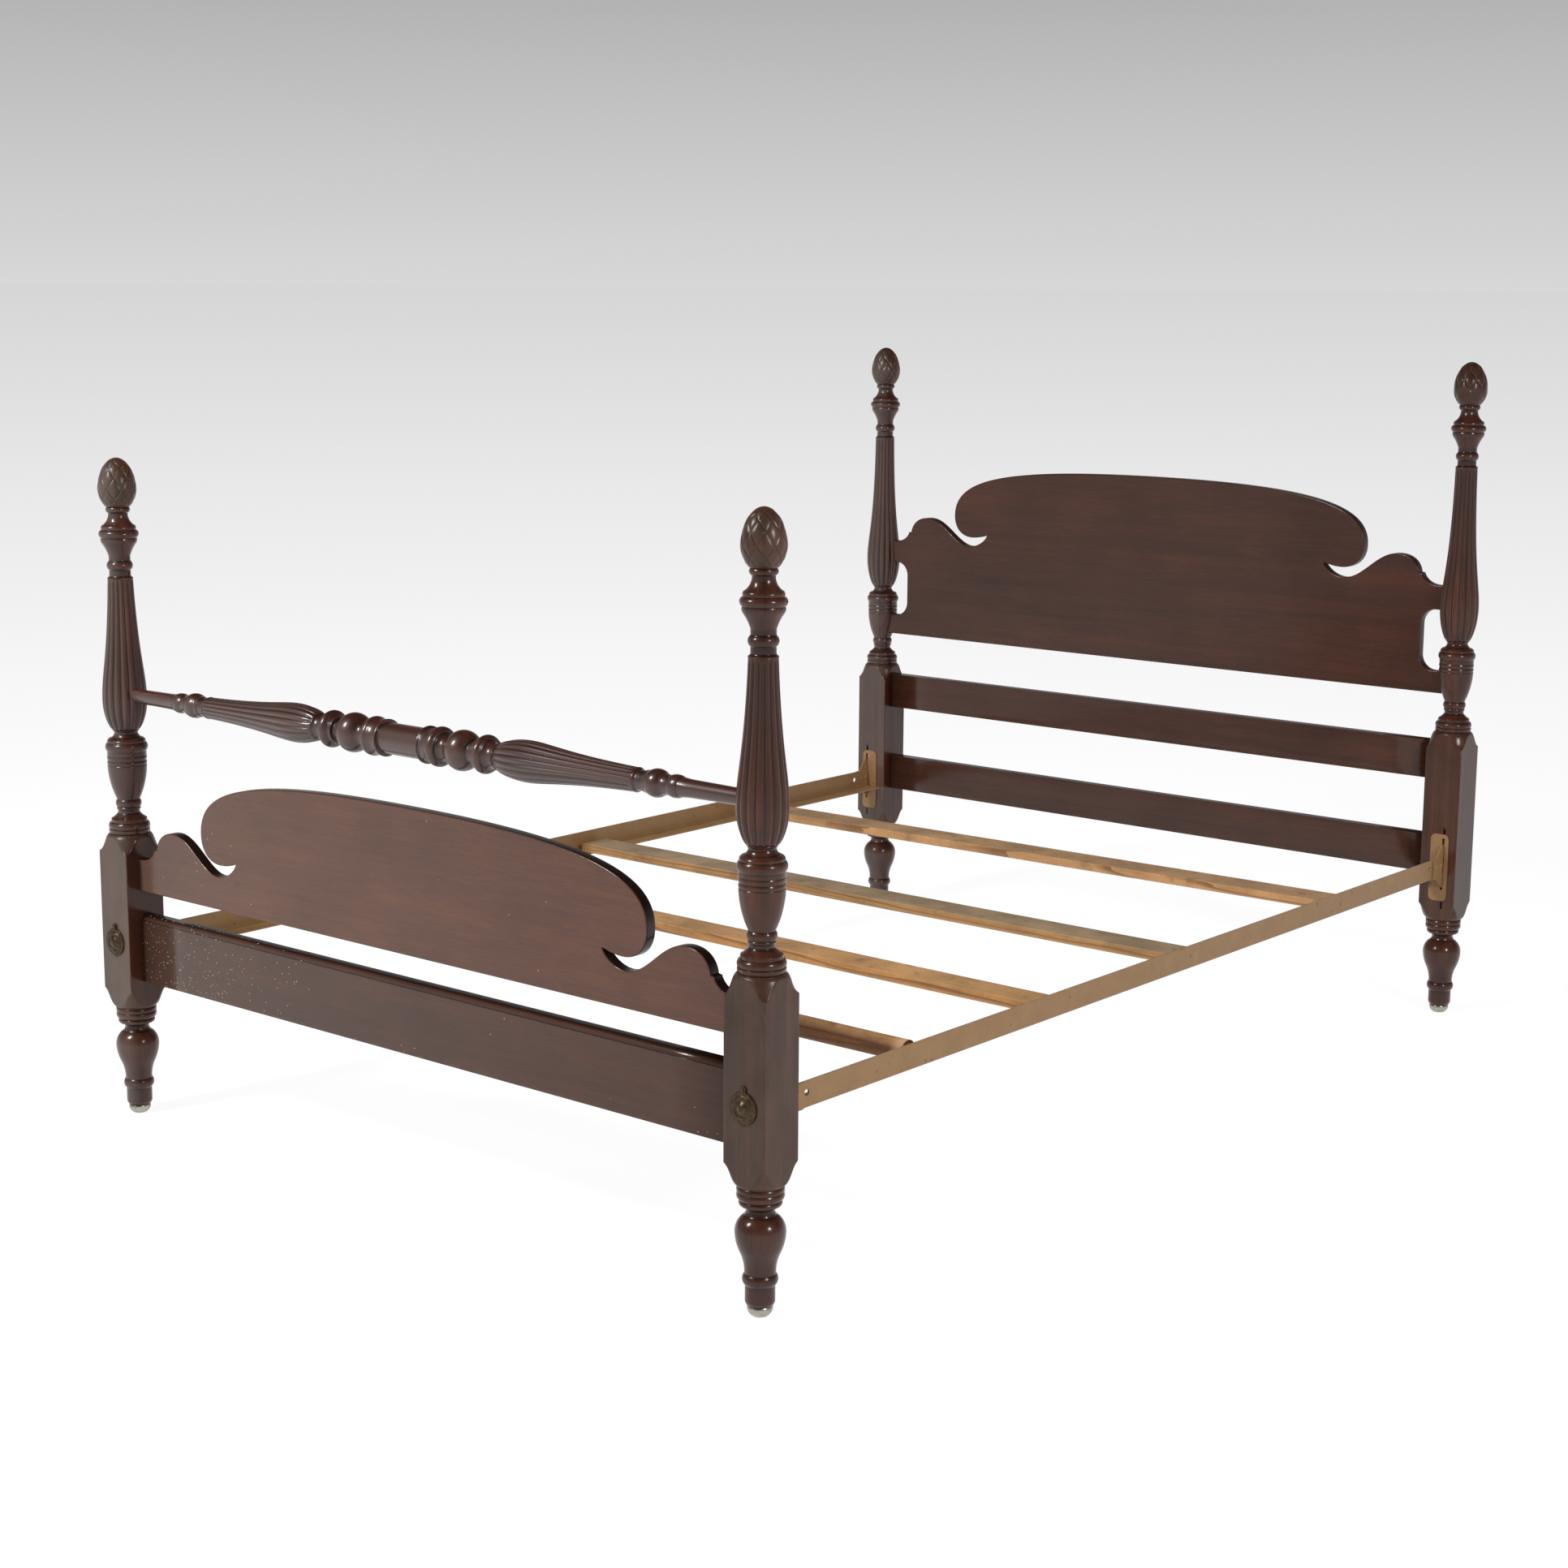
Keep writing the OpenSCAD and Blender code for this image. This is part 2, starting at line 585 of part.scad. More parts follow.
module head_cross_rail(z, h) {
    color(mahogany_light) translate([0, HEAD * bed_l / 2 + mid_y, 0]) union() {
        translate([-span, -head_rail_t / 2, z]) cube([2 * span, head_rail_t, h]);
        rail_tenons(z, h);
    }
}

// Foot rail with a quirked quarter-round along its top front edge
module foot_rail() {
    front = -foot_rail_front;
    back = front + foot_rail_t;
    quirk = 0.8;
    edge = [for (i = [0:curve_steps]) let (a = 90 * i / curve_steps)
        [front + quirk + ovolo_d * (1 - cos(a)), foot_rail_h - ovolo_h * (1 - sin(a))]];
    section = concat([[front, 0], [front, foot_rail_h - ovolo_h - quirk],
                      [front + quirk, foot_rail_h - ovolo_h - quirk]],
                     edge, [[back, foot_rail_h], [back, 0]]);
    color(mahogany_light) translate([0, FOOT * bed_l / 2 + mid_y, 0]) union() {
        translate([-span, 0, foot_rail_z])
            rotate([90, 0, 90]) linear_extrude(2 * span) polygon(section);
        rail_tenons(foot_rail_z, foot_rail_h);
    }
}

module blanket_half() {
    middle_l = middle_rows[len(middle_rows) - 1][1];
    stem_l = stem_rows[len(stem_rows) - 1][1];
    clear = span - middle_l - stem_l;
    vase_l = clear * vase_share;
    stem_z = middle_l + vase_l;
    stem = concat(raised(turned(stem_rows, blanket_turn, stem_l), stem_z),
                  [[blanket_end_r + 1, stem_z + stem_l + 15], [blanket_end_r, span - 12],
                   [blanket_end_r, blanket_reach]]);
    lathe(turned(middle_rows, blanket_turn, middle_l));
    translate([0, 0, middle_l]) reeded_vase(rail_vase, blanket_turn, vase_l);
    lathe(stem);
    // The blank's core runs through all three lengths, so that they stay one piece at any width
    cylinder(r = blanket_end_r / 2, h = span);
}

module blanket_rail() {
    color(mahogany) translate([0, FOOT * bed_l / 2 + mid_y, blanket_rail_z]) union() {
        rotate([0, 90, 0]) blanket_half();
        rotate([0, -90, 0]) blanket_half();
    }
}

// ---- steel side rails and their hooks ----
// Steel angle, upright side outward and the other turned in under the slats
module side_rail(side) {
    w = angle_w;
    t = angle_t;
    toe = t / 3;
    fillet = [for (i = [0:curve_steps]) let (a = 90 * i / curve_steps)
        [-t - angle_r + angle_r * sin(a), t + angle_r - angle_r * cos(a)]];
    section = concat([[0, 0], [0, w], [toe - t, w], [-t, w - toe]], reversed(fillet),
                     [[toe - w, t], [-w, t - toe], [-w, 0]]);
    half_l = bed_l / 2 - plate_face - rail_gap;
    color(enamel) translate([0, mid_y, 0]) flipped([1, 0, 0], side == LEFT)
        translate([bed_w / 2 + angle_x, 0, rail_z]) difference() {
            translate([0, half_l, 0]) rotate([90, 0, 0]) linear_extrude(2 * half_l) polygon(section);
            for (end = [FOOT, HEAD]) {
                angle_hole(end, bed_l / 2 - plate_face - rail_hole_y, rail_hole_z, rail_hole_r);
                for (i = [0, 1])
                    angle_hole(end, bed_l / 2 - rivet_y - i * rivet_gap, rivet_z - rail_z,
                               rivet_r + fit);
            }
        }
}

module angle_hole(end, y, z, r) {
    translate([-angle_t - over, end * y, z])
        rotate([0, 90, 0]) cylinder(r = r, h = angle_t + 2 * over);
}

// Flat plate riveted outside the angle, with two tongues that hook over the pins
module rail_hook(end, side) {
    out = plate_face + run_gap;
    far = plate_face + hook_reach;
    tip = post_half - pin_depth - beak;
    pin_y = post_half - pin_depth;
    low = hook_low;
    high = hook_low + hook_h;
    outline = [
        [-out, low], [-far + hook_slope, rail_z], [-far, rail_z], [-far, rail_z + angle_w],
        [-far + hook_slope, rail_z + angle_w], [-out - 6, high], [-tip, high],
        [-tip, pin_z + pin_gap - beak], [-pin_y - beak, pin_z + pin_gap - beak],
        [-pin_y - beak, pin_z + pin_gap - 4], [-out, pin_z + pin_gap - hook_slope],
        [-out, pin_z + 24], [-pin_y - beak, pin_z + 22], [-tip, pin_z + 18],
        [-tip, pin_z - beak], [-pin_y - beak, pin_z - beak], [-pin_y - beak, low],
    ];
    color(enamel) at_corner(end, side) translate([hook_x - hook_t / 2, 0, 0]) difference() {
        rotate([90, 0, 90]) linear_extrude(hook_t) polygon(outline);
        for (z = [pin_z, pin_z + pin_gap])
            translate([-over, -pin_y, z]) {
                rotate([0, 90, 0]) cylinder(r = pin_r + fit, h = hook_t + 2 * over);
                translate([0, -pin_r - fit, -beak - over])
                    cube([hook_t + 2 * over, 2 * (pin_r + fit), beak + over]);
            }
        for (i = [0, 1])
            translate([-over, -rivet_y - i * rivet_gap, rivet_z])
                rotate([0, 90, 0]) cylinder(r = rivet_r + fit, h = hook_t + 2 * over);
    }
}

module slot_plate(end, side) {
    r = plate_r;
    color(enamel) at_corner(end, side) translate([plate_x, -post_half, plate_z]) difference() {
        rotate([90, 0, 0]) linear_extrude(plate_t) union() {
            translate([-plate_w / 2 + r, 0]) square([plate_w - 2 * r, plate_h]);
            translate([-plate_w / 2, r]) square([plate_w, plate_h - 2 * r]);
            for (x = [-1, 1])
                for (z = [r, plate_h - r])
                    translate([x * (plate_w / 2 - r), z]) circle(r = r);
        }
        translate([hook_x - plate_x - kerf_w / 2, -plate_t - over, slot_z - plate_z])
            cube([kerf_w, plate_t + 2 * over, slot_h]);
        for (z = screw_zs)
            translate([screw_x - plate_x, -plate_t, z - plate_z])
                rotate([-90, 0, 0]) screw_form(screw_r + fit, screw_head_r + fit, plate_t + over);
    }
}

// Countersunk screw along +Z from its flat face
module screw_form(r, head_r, l) {
    rotate_extrude()
        polygon([[0, 0], [head_r, 0], [r, head_r - r], [r, l], [0, l]]);
}

module plate_screws() {
    color(enamel)
        for (end = [FOOT, HEAD])
            for (side = [LEFT, RIGHT])
                for (z = screw_zs)
                    at_corner(end, side) translate([screw_x, -plate_face, z])
                        rotate([-90, 0, 0]) screw_form(screw_r, screw_head_r, screw_l);
}

module rivet() {
    grip = angle_t + hook_t;
    h = rivet_head_h;
    steps = [for (i = [0:curve_steps]) 90 * i / curve_steps];
    rotate_extrude() polygon(concat(
        [for (a = steps) [rivet_head_r * sin(a), -h * cos(a)]],
        [[rivet_r, 0], [rivet_r, grip]],
        [for (a = steps) [rivet_head_r * cos(a), grip + h * sin(a)]]));
}

module hook_rivets() {
    color(enamel)
        for (end = [FOOT, HEAD])
            for (side = [LEFT, RIGHT])
                for (i = [0, 1])
                    at_corner(end, side)
                        translate([angle_x - angle_t, -rivet_y - i * rivet_gap, rivet_z])
                            rotate([0, 90, 0]) rivet();
}

module hook_pins() {
    color(zinc)
        for (end = [FOOT, HEAD])
            for (side = [LEFT, RIGHT])
                for (z = [pin_z, pin_z + pin_gap])
                    at_corner(end, side)
                        translate([pin_sunk - post_half, pin_depth - post_half, z])
                            rotate([0, 90, 0])
                                cylinder(r = pin_r, h = pin_l - pin_sunk);
}

// ---- slats ----
module slat(i, w) {
    e = slat_ease;
    t = slat_t;
    section = [[-w / 2 + e, 0], [w / 2 - e, 0], [w / 2, e], [w / 2, t - e],
               [w / 2 - e, t], [-w / 2 + e, t], [-w / 2, t - e], [-w / 2, e]];
    color(pine) translate([0, slat_y[i] + mid_y, slat_z]) rotate([0, 0, slat_skew[i]])
        translate([-slat_half, 0, 0]) rotate([90, 0, 90]) linear_extrude(2 * slat_half) polygon(section);
}

module slat_pole() {
    color(pole_brown) translate([-slat_half, slat_y[3] + mid_y, slat_z + pole_r])
        rotate([0, 90, 0]) cylinder(r = pole_r, h = 2 * slat_half);
}

// ---- bolt covers ----
// Stamped cover of concentric mouldings round a dome, hanging from its ear
module bolt_cover(side) {
    r = cover_r;
    h = cover_h;
    w = cover_wall;
    face = [[r, 0, 0], [r, w, 0.4], [r * 0.93, w + 1, 0], [r * 0.86, w + 1, -0.3],
            [r * 0.74, h * 0.42, 0.5], [r * 0.62, h * 0.42, 0], [r * 0.56, h * 0.36, -0.2],
            [r * 0.42, h * 0.5, 0.19], [0, h, 0]];
    points = concat([[face[0][0], 0]],
        [for (i = [0:len(face) - 2])
            each arc([face[i][0], face[i][1]], [face[i + 1][0], face[i + 1][1]], face[i][2])]);
    hollow = [[0, -over], [r - 2 * w, -over], [r - 2 * w, 0], [r * 0.8, h * 0.42 - w],
              [r * 0.42, h * 0.42 - w], [r * 0.3, h * 0.62 - w], [0, h * 0.8 - w]];
    color(brass) at_corner(FOOT, side) translate([0, post_half + run_gap, cover_z])
        rotate([-90, 0, 0]) difference() {
            union() {
                rotate_extrude() polygon(concat([[0, 0]], points));
                translate([0, cover_z - cover_pin_z, 0]) cylinder(r = ear_r, h = ear_t);
            }
            rotate_extrude() polygon(hollow);
            translate([0, cover_z - cover_pin_z, -over])
                cylinder(r = cover_pin_r + run_gap / 2, h = ear_t + 2 * over);
        }
}

module cover_pin(side) {
    neck = 2 * run_gap + ear_t;
    h = cover_head_h;
    dome = [for (i = [0:curve_steps]) let (a = 90 * i / curve_steps)
        [cover_head_r * cos(a), neck + h * 0.3 + h * 0.7 * sin(a)]];
    color(brass) at_corner(FOOT, side) translate([0, post_half, cover_pin_z])
        rotate([-90, 0, 0]) rotate_extrude()
            polygon(concat([[0, -cover_pin_l], [cover_pin_r, -cover_pin_l], [cover_pin_r, neck],
                            [cover_head_r, neck]], dome));
}

foot_post(LEFT);  // foot_post_left
foot_post(RIGHT);  // foot_post_right
head_post(LEFT);  // head_post_left
head_post(RIGHT);  // head_post_right
finial(FOOT, LEFT, foot_finial_z);  // foot_finial_left
finial(FOOT, RIGHT, foot_finial_z);  // foot_finial_right
finial(HEAD, LEFT, head_finial_z);  // head_finial_left
finial(HEAD, RIGHT, head_finial_z);  // head_finial_right
finial_dowels();
glide(FOOT, LEFT);  // foot_glide_left
glide(FOOT, RIGHT);  // foot_glide_right
glide(HEAD, LEFT);  // head_glide_left
glide(HEAD, RIGHT);  // head_glide_right
foot_board();
foot_rail();
blanket_rail();
head_board();
head_cross_rail(upper_rail_z, upper_rail_h);  // head_upper_rail
head_cross_rail(lower_rail_z, lower_rail_h);  // head_lower_rail
side_rail(LEFT);  // side_rail_left
side_rail(RIGHT);  // side_rail_right
rail_hook(FOOT, LEFT);  // foot_hook_left
rail_hook(FOOT, RIGHT);  // foot_hook_right
rail_hook(HEAD, LEFT);  // head_hook_left
rail_hook(HEAD, RIGHT);  // head_hook_right
slot_plate(FOOT, LEFT);  // foot_slot_plate_left
slot_plate(FOOT, RIGHT);  // foot_slot_plate_right
slot_plate(HEAD, LEFT);  // head_slot_plate_left
slot_plate(HEAD, RIGHT);  // head_slot_plate_right
plate_screws();
hook_rivets();
hook_pins();
slat(0, slat_w);  // slat_head
slat(1, slat_w);  // slat_upper_middle
slat(2, narrow_slat_w);  // slat_lower_middle
slat_pole();
bolt_cover(LEFT);  // bolt_cover_left
bolt_cover(RIGHT);  // bolt_cover_right
cover_pin(LEFT);  // cover_pin_left
cover_pin(RIGHT);  // cover_pin_right
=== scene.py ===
"""The looks of the four-poster bedstead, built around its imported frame. Shapes are worked out in
millimetres; materials, lamps and the camera are in metres."""

import math

import bpy
import numpy as np
from mathutils import Matrix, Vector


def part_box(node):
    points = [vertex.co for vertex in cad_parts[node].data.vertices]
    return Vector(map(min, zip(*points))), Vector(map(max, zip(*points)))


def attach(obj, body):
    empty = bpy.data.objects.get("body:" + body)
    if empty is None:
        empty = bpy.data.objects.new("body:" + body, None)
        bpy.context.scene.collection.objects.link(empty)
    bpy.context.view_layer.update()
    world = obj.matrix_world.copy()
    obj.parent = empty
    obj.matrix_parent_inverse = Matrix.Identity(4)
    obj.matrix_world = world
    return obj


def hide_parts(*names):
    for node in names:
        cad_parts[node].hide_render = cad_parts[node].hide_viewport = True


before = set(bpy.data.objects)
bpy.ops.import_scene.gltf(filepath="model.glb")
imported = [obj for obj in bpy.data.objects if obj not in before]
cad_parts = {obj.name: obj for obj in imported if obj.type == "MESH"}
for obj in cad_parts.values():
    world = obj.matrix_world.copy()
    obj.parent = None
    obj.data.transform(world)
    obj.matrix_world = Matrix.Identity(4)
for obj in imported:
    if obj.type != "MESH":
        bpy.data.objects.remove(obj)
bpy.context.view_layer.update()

BED = "bedstead"
SIDES = {"left": -1, "right": 1}
ENDS = {"foot": -1, "head": 1}


def extent(name):
    """A CAD node's lowest and highest corner in mm, to a thousandth."""
    return [np.round(np.array(corner) * 1000, 3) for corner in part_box(name)]


def centre(name):
    """The middle of a CAD node's box in mm."""
    return sum(extent(name)) / 2


# ---- sizes that the frame gives ----
POST_LOW, POST_HIGH = extent("foot_post_right")
POST = (POST_HIGH[0] - POST_LOW[0]) / 2          # half of the square blank
SPAN = POST_LOW[0]                               # half the clear width between the posts
POST_TOP = {end: extent(f"{end}_post_right")[1][2] for end in ENDS}
BOARD_END = extent("foot_board")[1][0]           # the boards' tabs end here, inside the posts
BAR_END = extent("blanket_rail")[1][0]
SLAT_END = extent("slat_pole")[1][0]

# ---- sizes of the post's parts, from the floor up ----
LEG_TOP, BLOCK_FOOT = 187.2, 218.2               # the cove that becomes the square block lies between them
SHOULDER, URN = 28.5, 174.5
VASE = {"foot": 250.0, "head": 327.0}
BLOCK_TOP = {end: POST_TOP[end] - VASE[end] - URN - SHOULDER for end in ENDS}
LOWER_COVE = [(34, -31), (42.5, -25), (42, -6), (51.4, 0)]
UPPER_COVE = [(51.4, -.5), (40.5, 4), (41.5, 23), (34.5, 28.5)]
SHARP = 90                                       # power that blends the square with the lathe's round
KERF_W, KERF_D, KERF_UNDER, KERF_OVER = 5, 30, 16, 9
POCKET_R, POCKET_D, POCKET_Z = 12, 14, 301       # bed-bolt pocket behind a cover
OVER = 1                                         # how far a cutter starts outside the wood

# ---- turned profiles: radius, height, bulge of the arc to the next row ----
LEG = [(19, 0, 0), (21, 4.7, 0), (21, 27.6, 0), (21.4, 28.6, .42), (21.9, 44.7, -.12), (28.6, 75.2, .1),
       (35.4, 103, .25), (24.3, 126.5, 0), (22.6, 127.6, -.15), (19.5, 135.3, -.3), (26.5, 141.4, 0),
       (28, 141.7, .5), (28.4, 149.4, 0), (30.6, 150.6, .42), (31.4, 161, 0), (33, 161.8, 0), (33, 171.4, 0)]
URN_ROWS = [(33.2, 0, 0), (33.2, 8.5, 0), (31.8, 9.1, .4), (31, 20, 0), (29.3, 20.7, 0), (28.9, 26, -.1),
            (18.1, 35.3, -.15), (18.3, 41, .5), (18.6, 45.2, 0), (19, 45.7, .34), (18.8, 58, 0),
            (18.6, 58.6, .103), (31.9, 115.5, 0), (31.2, 116.6, .28), (31.2, 123.4, 0), (31.2, 124.5, .27),
            (31.4, 132, 0), (31.8, 132.8, 0), (31.8, 139.1, 0), (32.2, 139.8, .38), (31.8, 153, 0),
            (31.1, 153.7, 0), (31, 156.9, .25), (24.3, 161.5, -.2), (19.1, 168.9, -.15), (21.8, 174.5, 0)]
FINIAL = [(20.8, 0, 0), (20.8, 1, -.2), (17.3, 4.4, 0), (17.3, 13.6, 0), (18.2, 14.5, .44), (17.8, 28, 0),
          (17.2, 29.5, 0), (17.4, 37, -.08), (27.4, 57.3, .27), (28.6, 66.3, 0), (29.2, 66.8, .5),
          (29.2, 78.4, 0), (27.2, 79, .34), (26.6, 86.2, 0), (25, 87, -.22), (15.7, 103.7, 0),
          (15.7, 106.4, 0), (17.2, 107.4, .46), (17.6, 116.4, 0), (19.4, 117, .2), (31, 145.4, 0)]
ACORN = [(31, 145.4), (31, 168), (19.5, 195.5), (0, 196)]
GROOVES, GROOVE_RISE = 8, 1.5                    # spirals each way round the acorn, and their rise over run
MIDDLE = [(23.8, 0, 0), (23.8, 43.6, 0), (28.1, 44.1, .25), (28.1, 47.4, 0), (25.9, 48.3, -.13),
          (26.4, 60.8, 0), (27.9, 64.4, 0), (28, 65.4, .57), (23, 79.6, 0), (21.6, 80.2, -.45),
          (21.4, 99.4, 0), (22.3, 100.2, .514), (17.9, 140, 0), (17, 141.2, -.05), (17, 150.4, 0),
          (21.6, 151.4, 0), (22, 152.4, .1), (21.8, 158.6, 0), (25.6, 161, .62), (23.2, 174.9, 0),
          (21.6, 175.6, -.4), (19.4, 197, 0), (21.2, 198, 0)]
STEM = [(17.7, 0, 0), (16.5, 2.5, -.2), (14.6, 6, 0), (14.6, 17, 0), (16.2, 18.5, 0), (16.4, 23, 0),
        (16.8, 24.5, .26), (17.8, 46, -.15), (14.3, 56.5, 0), (14.3, 62, 0), (14.8, 63, .19), (14.6, 81, 0),
        (14, 81.6, 0)]
BAR_VASE, BAR_R = .7165, 11.8                    # the vase's share of the bar beyond the middle, end radius

# Reeded vases as two curves each: radius, share of the height
VASES = {"foot": [[(21.2, 0), (25.5, .005), (36, .09), (36, .2)],
                  [(36, .2), (36, .38), (25, .48), (20.3, 1)]],
         "head": [[(21.2, 0), (25.5, .005), (36, .085), (36, .19)],
                  [(36, .19), (36, .34), (22.5, .4), (20.3, 1)]],
         "rail": [[(20.5, 0), (24.5, .03), (30.3, .09), (30.3, .21)],
                  [(30.3, .21), (30.3, .345), (20.5, .48), (17.2, 1)]]}
REEDS, REED_POINTS, REED_SINK, REED_END = 16, 10, .1, 9.0

# ---- boards and rails ----
CREST = 173                                      # height of the crest over the board's shoulder
# Curves of the scroll, as distance in from the post and height over the shoulder
SCROLL = [[(163.3, 66), (163.3, 36), (183.3, 20), (210.3, 20)],      # nose of the scroll, curling under
          [(210.3, 20), (226.3, 20), (239.3, 24), (249.3, 27)],      # out to its tip
          [(249.3, 27), (243.3, 13), (223.3, 1), (204.3, 1)],        # throat below the tip
          [(204.3, 1), (163.3, 1), (136.3, 55), (91.3, 55)],         # rise to the hump
          [(91.3, 55), (66.3, 55), (49.3, 42), (46.3, 22)],          # fall to the step
          [(40.3, 21), (37.3, 10), (23.3, 0), (6.3, 0)]]             # hollow down to the shoulder
NOTCH_W, NOTCH_R, LOW_TAB, HIGH_TAB = 37.3, 29, 42.5, 46.5
BOARD_ARRIS = 2.2
QUIRK, OVOLO_D, OVOLO_H = .8, 10, 9              # moulding on the foot rail's upper front edge
INTO_POST = 2                                    # how far a rail runs on inside the post
POLE_ARRIS = 3

# Width, skew in degrees, colour of the wood and of its upper side
SLATS = {"slat_head": (67, 1.4, "#c69260", "#b2906c"),
         "slat_upper_middle": (67, .4, "#b0824f", "#9c8a70"),
         "slat_lower_middle": (60, -.5, "#c48a4e", "#b88f60")}


# ---- curves ----
def bezier(corners, steps):
    """Cubic Bezier curve: the Bernstein sum of four corner points at even steps of t."""
    t = np.linspace(0, 1, steps + 1)[:, None]
    a, b, c, d = np.asarray(corners, float)
    return (1 - t) ** 3 * a + 3 * (1 - t) ** 2 * t * b + 3 * (1 - t) * t ** 2 * c + t ** 3 * d


def arc(p, q, bulge):
    """Points after p on the circular arc to q, which rises bulge half-chords to the right: straight at
    0."""
    chord = q - p
    half = np.hypot(*chord) / 2
    along = chord / (2 * half)
    t = np.linspace(0, 1, max(2, int(half * 8)))[1:, None]
    if not bulge:
        return p + chord * t
    radius = half * (1 + bulge ** 2) / (2 * bulge)
    angle = 2 * math.atan(bulge) * (2 * t - 1)
    right = np.array([along[1], -along[0]])
    middle = (p + q) / 2 + right * (bulge * half - radius)
    return middle + right * radius * np.cos(angle) + along * radius * np.sin(angle)


def turned(rows, lift=0.0):
    """Lathe outline as (radius, height) points: arcs through the rows, raised by lift."""
    rows = np.asarray(rows, float)
    points = [rows[:1, :2]] + [arc(a[:2], b[:2], a[2]) for a, b in zip(rows[:-1], rows[1:])]
    return np.concatenate(points) + [0, lift]


def eased(path, soften, turn=9.0, run=8.0, closed=False):
    """A path with eased corners and few points: it is resampled every quarter millimetre, averaged with a
    window of soften mm, and then keeps one point for each turn degrees that it bends or run mm that it
    goes."""
    if closed:
        path = np.concatenate([path, path[:1]])
    length = np.r_[0, np.cumsum(np.hypot(*np.diff(path, axis=0).T))]
    s = np.linspace(0, length[-1], int(length[-1] * 4) + 2)
    fine = np.stack([np.interp(s, length, path[:, k]) for k in (0, 1)], 1)
    width = max(1, int(soften * 4))
    window = np.hanning(2 * width + 3)[1:-1]
    window /= window.sum()
    ends = fine[[0, -1]].copy()
    if closed:
        padded = np.concatenate([fine[-1 - width:-1], fine, fine[1:1 + width]])
    else:
        padded = np.concatenate([2 * fine[0] - fine[width:0:-1], fine, 2 * fine[-1] - fine[-2:-2 - width:-1]])
    fine = np.stack([np.convolve(padded[:, k], window, "valid") for k in (0, 1)], 1)
    if not closed:
        fine[[0, -1]] = ends
    step = np.diff(fine, axis=0)
    bend = np.abs(np.diff(np.unwrap(np.arctan2(step[:, 1], step[:, 0]))))
    measure = np.r_[0, np.cumsum(np.hypot(*step.T) / run + np.degrees(np.r_[0, bend]) / turn)]
    count = max(3, int(math.ceil(measure[-1])))
    at = np.interp(np.linspace(0, measure[-1], count + 1), measure, np.arange(len(fine)))
    kept = np.stack([np.interp(at, np.arange(len(fine)), fine[:, k]) for k in (0, 1)], 1)
    return kept[:-1] if closed else kept


def thinned(path, gap):
    """The path's points less those nearer than gap to the last one kept."""
    keep = [0]
    for k in range(1, len(path)):
        if np.hypot(*(path[k] - path[keep[-1]])) > gap:
            keep.append(k)
    return path[keep]


# ---- meshes ----
def ring_quads(rows, n):
    """Four-cornered faces between neighbouring rings of n points each, closed round each ring."""
    i, j = np.meshgrid(np.arange(rows - 1), np.arange(n), indexing="ij")
    a, b = i * n + j, i * n + (j + 1) % n
    return np.stack([a, b, b + n, a + n], -1).reshape(-1, 4)


def tube(grid):
    """Points and faces of a grid of rings (rows, round, xyz): faces between the rings and a fan over both
    ends."""
    rows, n = grid.shape[:2]
    k = np.arange(n)
    last, top, bottom = (rows - 1) * n, rows * n, rows * n + 1
    fans = [np.stack([last + k, last + (k + 1) % n, np.full(n, top)], -1),
            np.stack([(k + 1) % n, k, np.full(n, bottom)], -1)]
    points = [grid.reshape(-1, 3), grid[-1].mean(0, keepdims=True), grid[0].mean(0, keepdims=True)]
    return np.concatenate(points), ring_quads(rows, n), np.concatenate(fans)


def mesh_of(name, shells, flat=()):
    """One mesh from several shells in mm, each its points and then groups of faces with as many corners.
    It is smooth but for the faces whose numbers are in flat."""
    mesh = bpy.data.meshes.new(name)
    points, loops, sizes, base = [], [], [], 0
    for shell, *groups in shells:
        for group in groups:
            loops.append((group + base).ravel())
            sizes.append(np.full(len(group), group.shape[1]))
        points.append(shell)
        base += len(shell)
    points, loops, sizes = np.concatenate(points) / 1000, np.concatenate(loops), np.concatenate(sizes)
    mesh.vertices.add(len(points))
    mesh.vertices.foreach_set("co", points.astype(np.float32).ravel())
    mesh.loops.add(len(loops))
    mesh.loops.foreach_set("vertex_index", loops.astype(np.int32))
    mesh.polygons.add(len(sizes))
    mesh.polygons.foreach_set("loop_start", (np.cumsum(sizes) - sizes).astype(np.int32))
    smooth = np.ones(len(sizes), bool)
    smooth[list(flat)] = False
    mesh.polygons.foreach_set("use_smooth", smooth)
    mesh.update(calc_edges=True)
    mesh.validate()
    return mesh


def read(items, name, width, kind=np.float32):
    """A property of all of a mesh's vertices, edges, loops or faces as one array with width columns."""
    values = np.zeros(len(items) * width, kind)
    items.foreach_get(name, values)
    return values.reshape(-1, width)


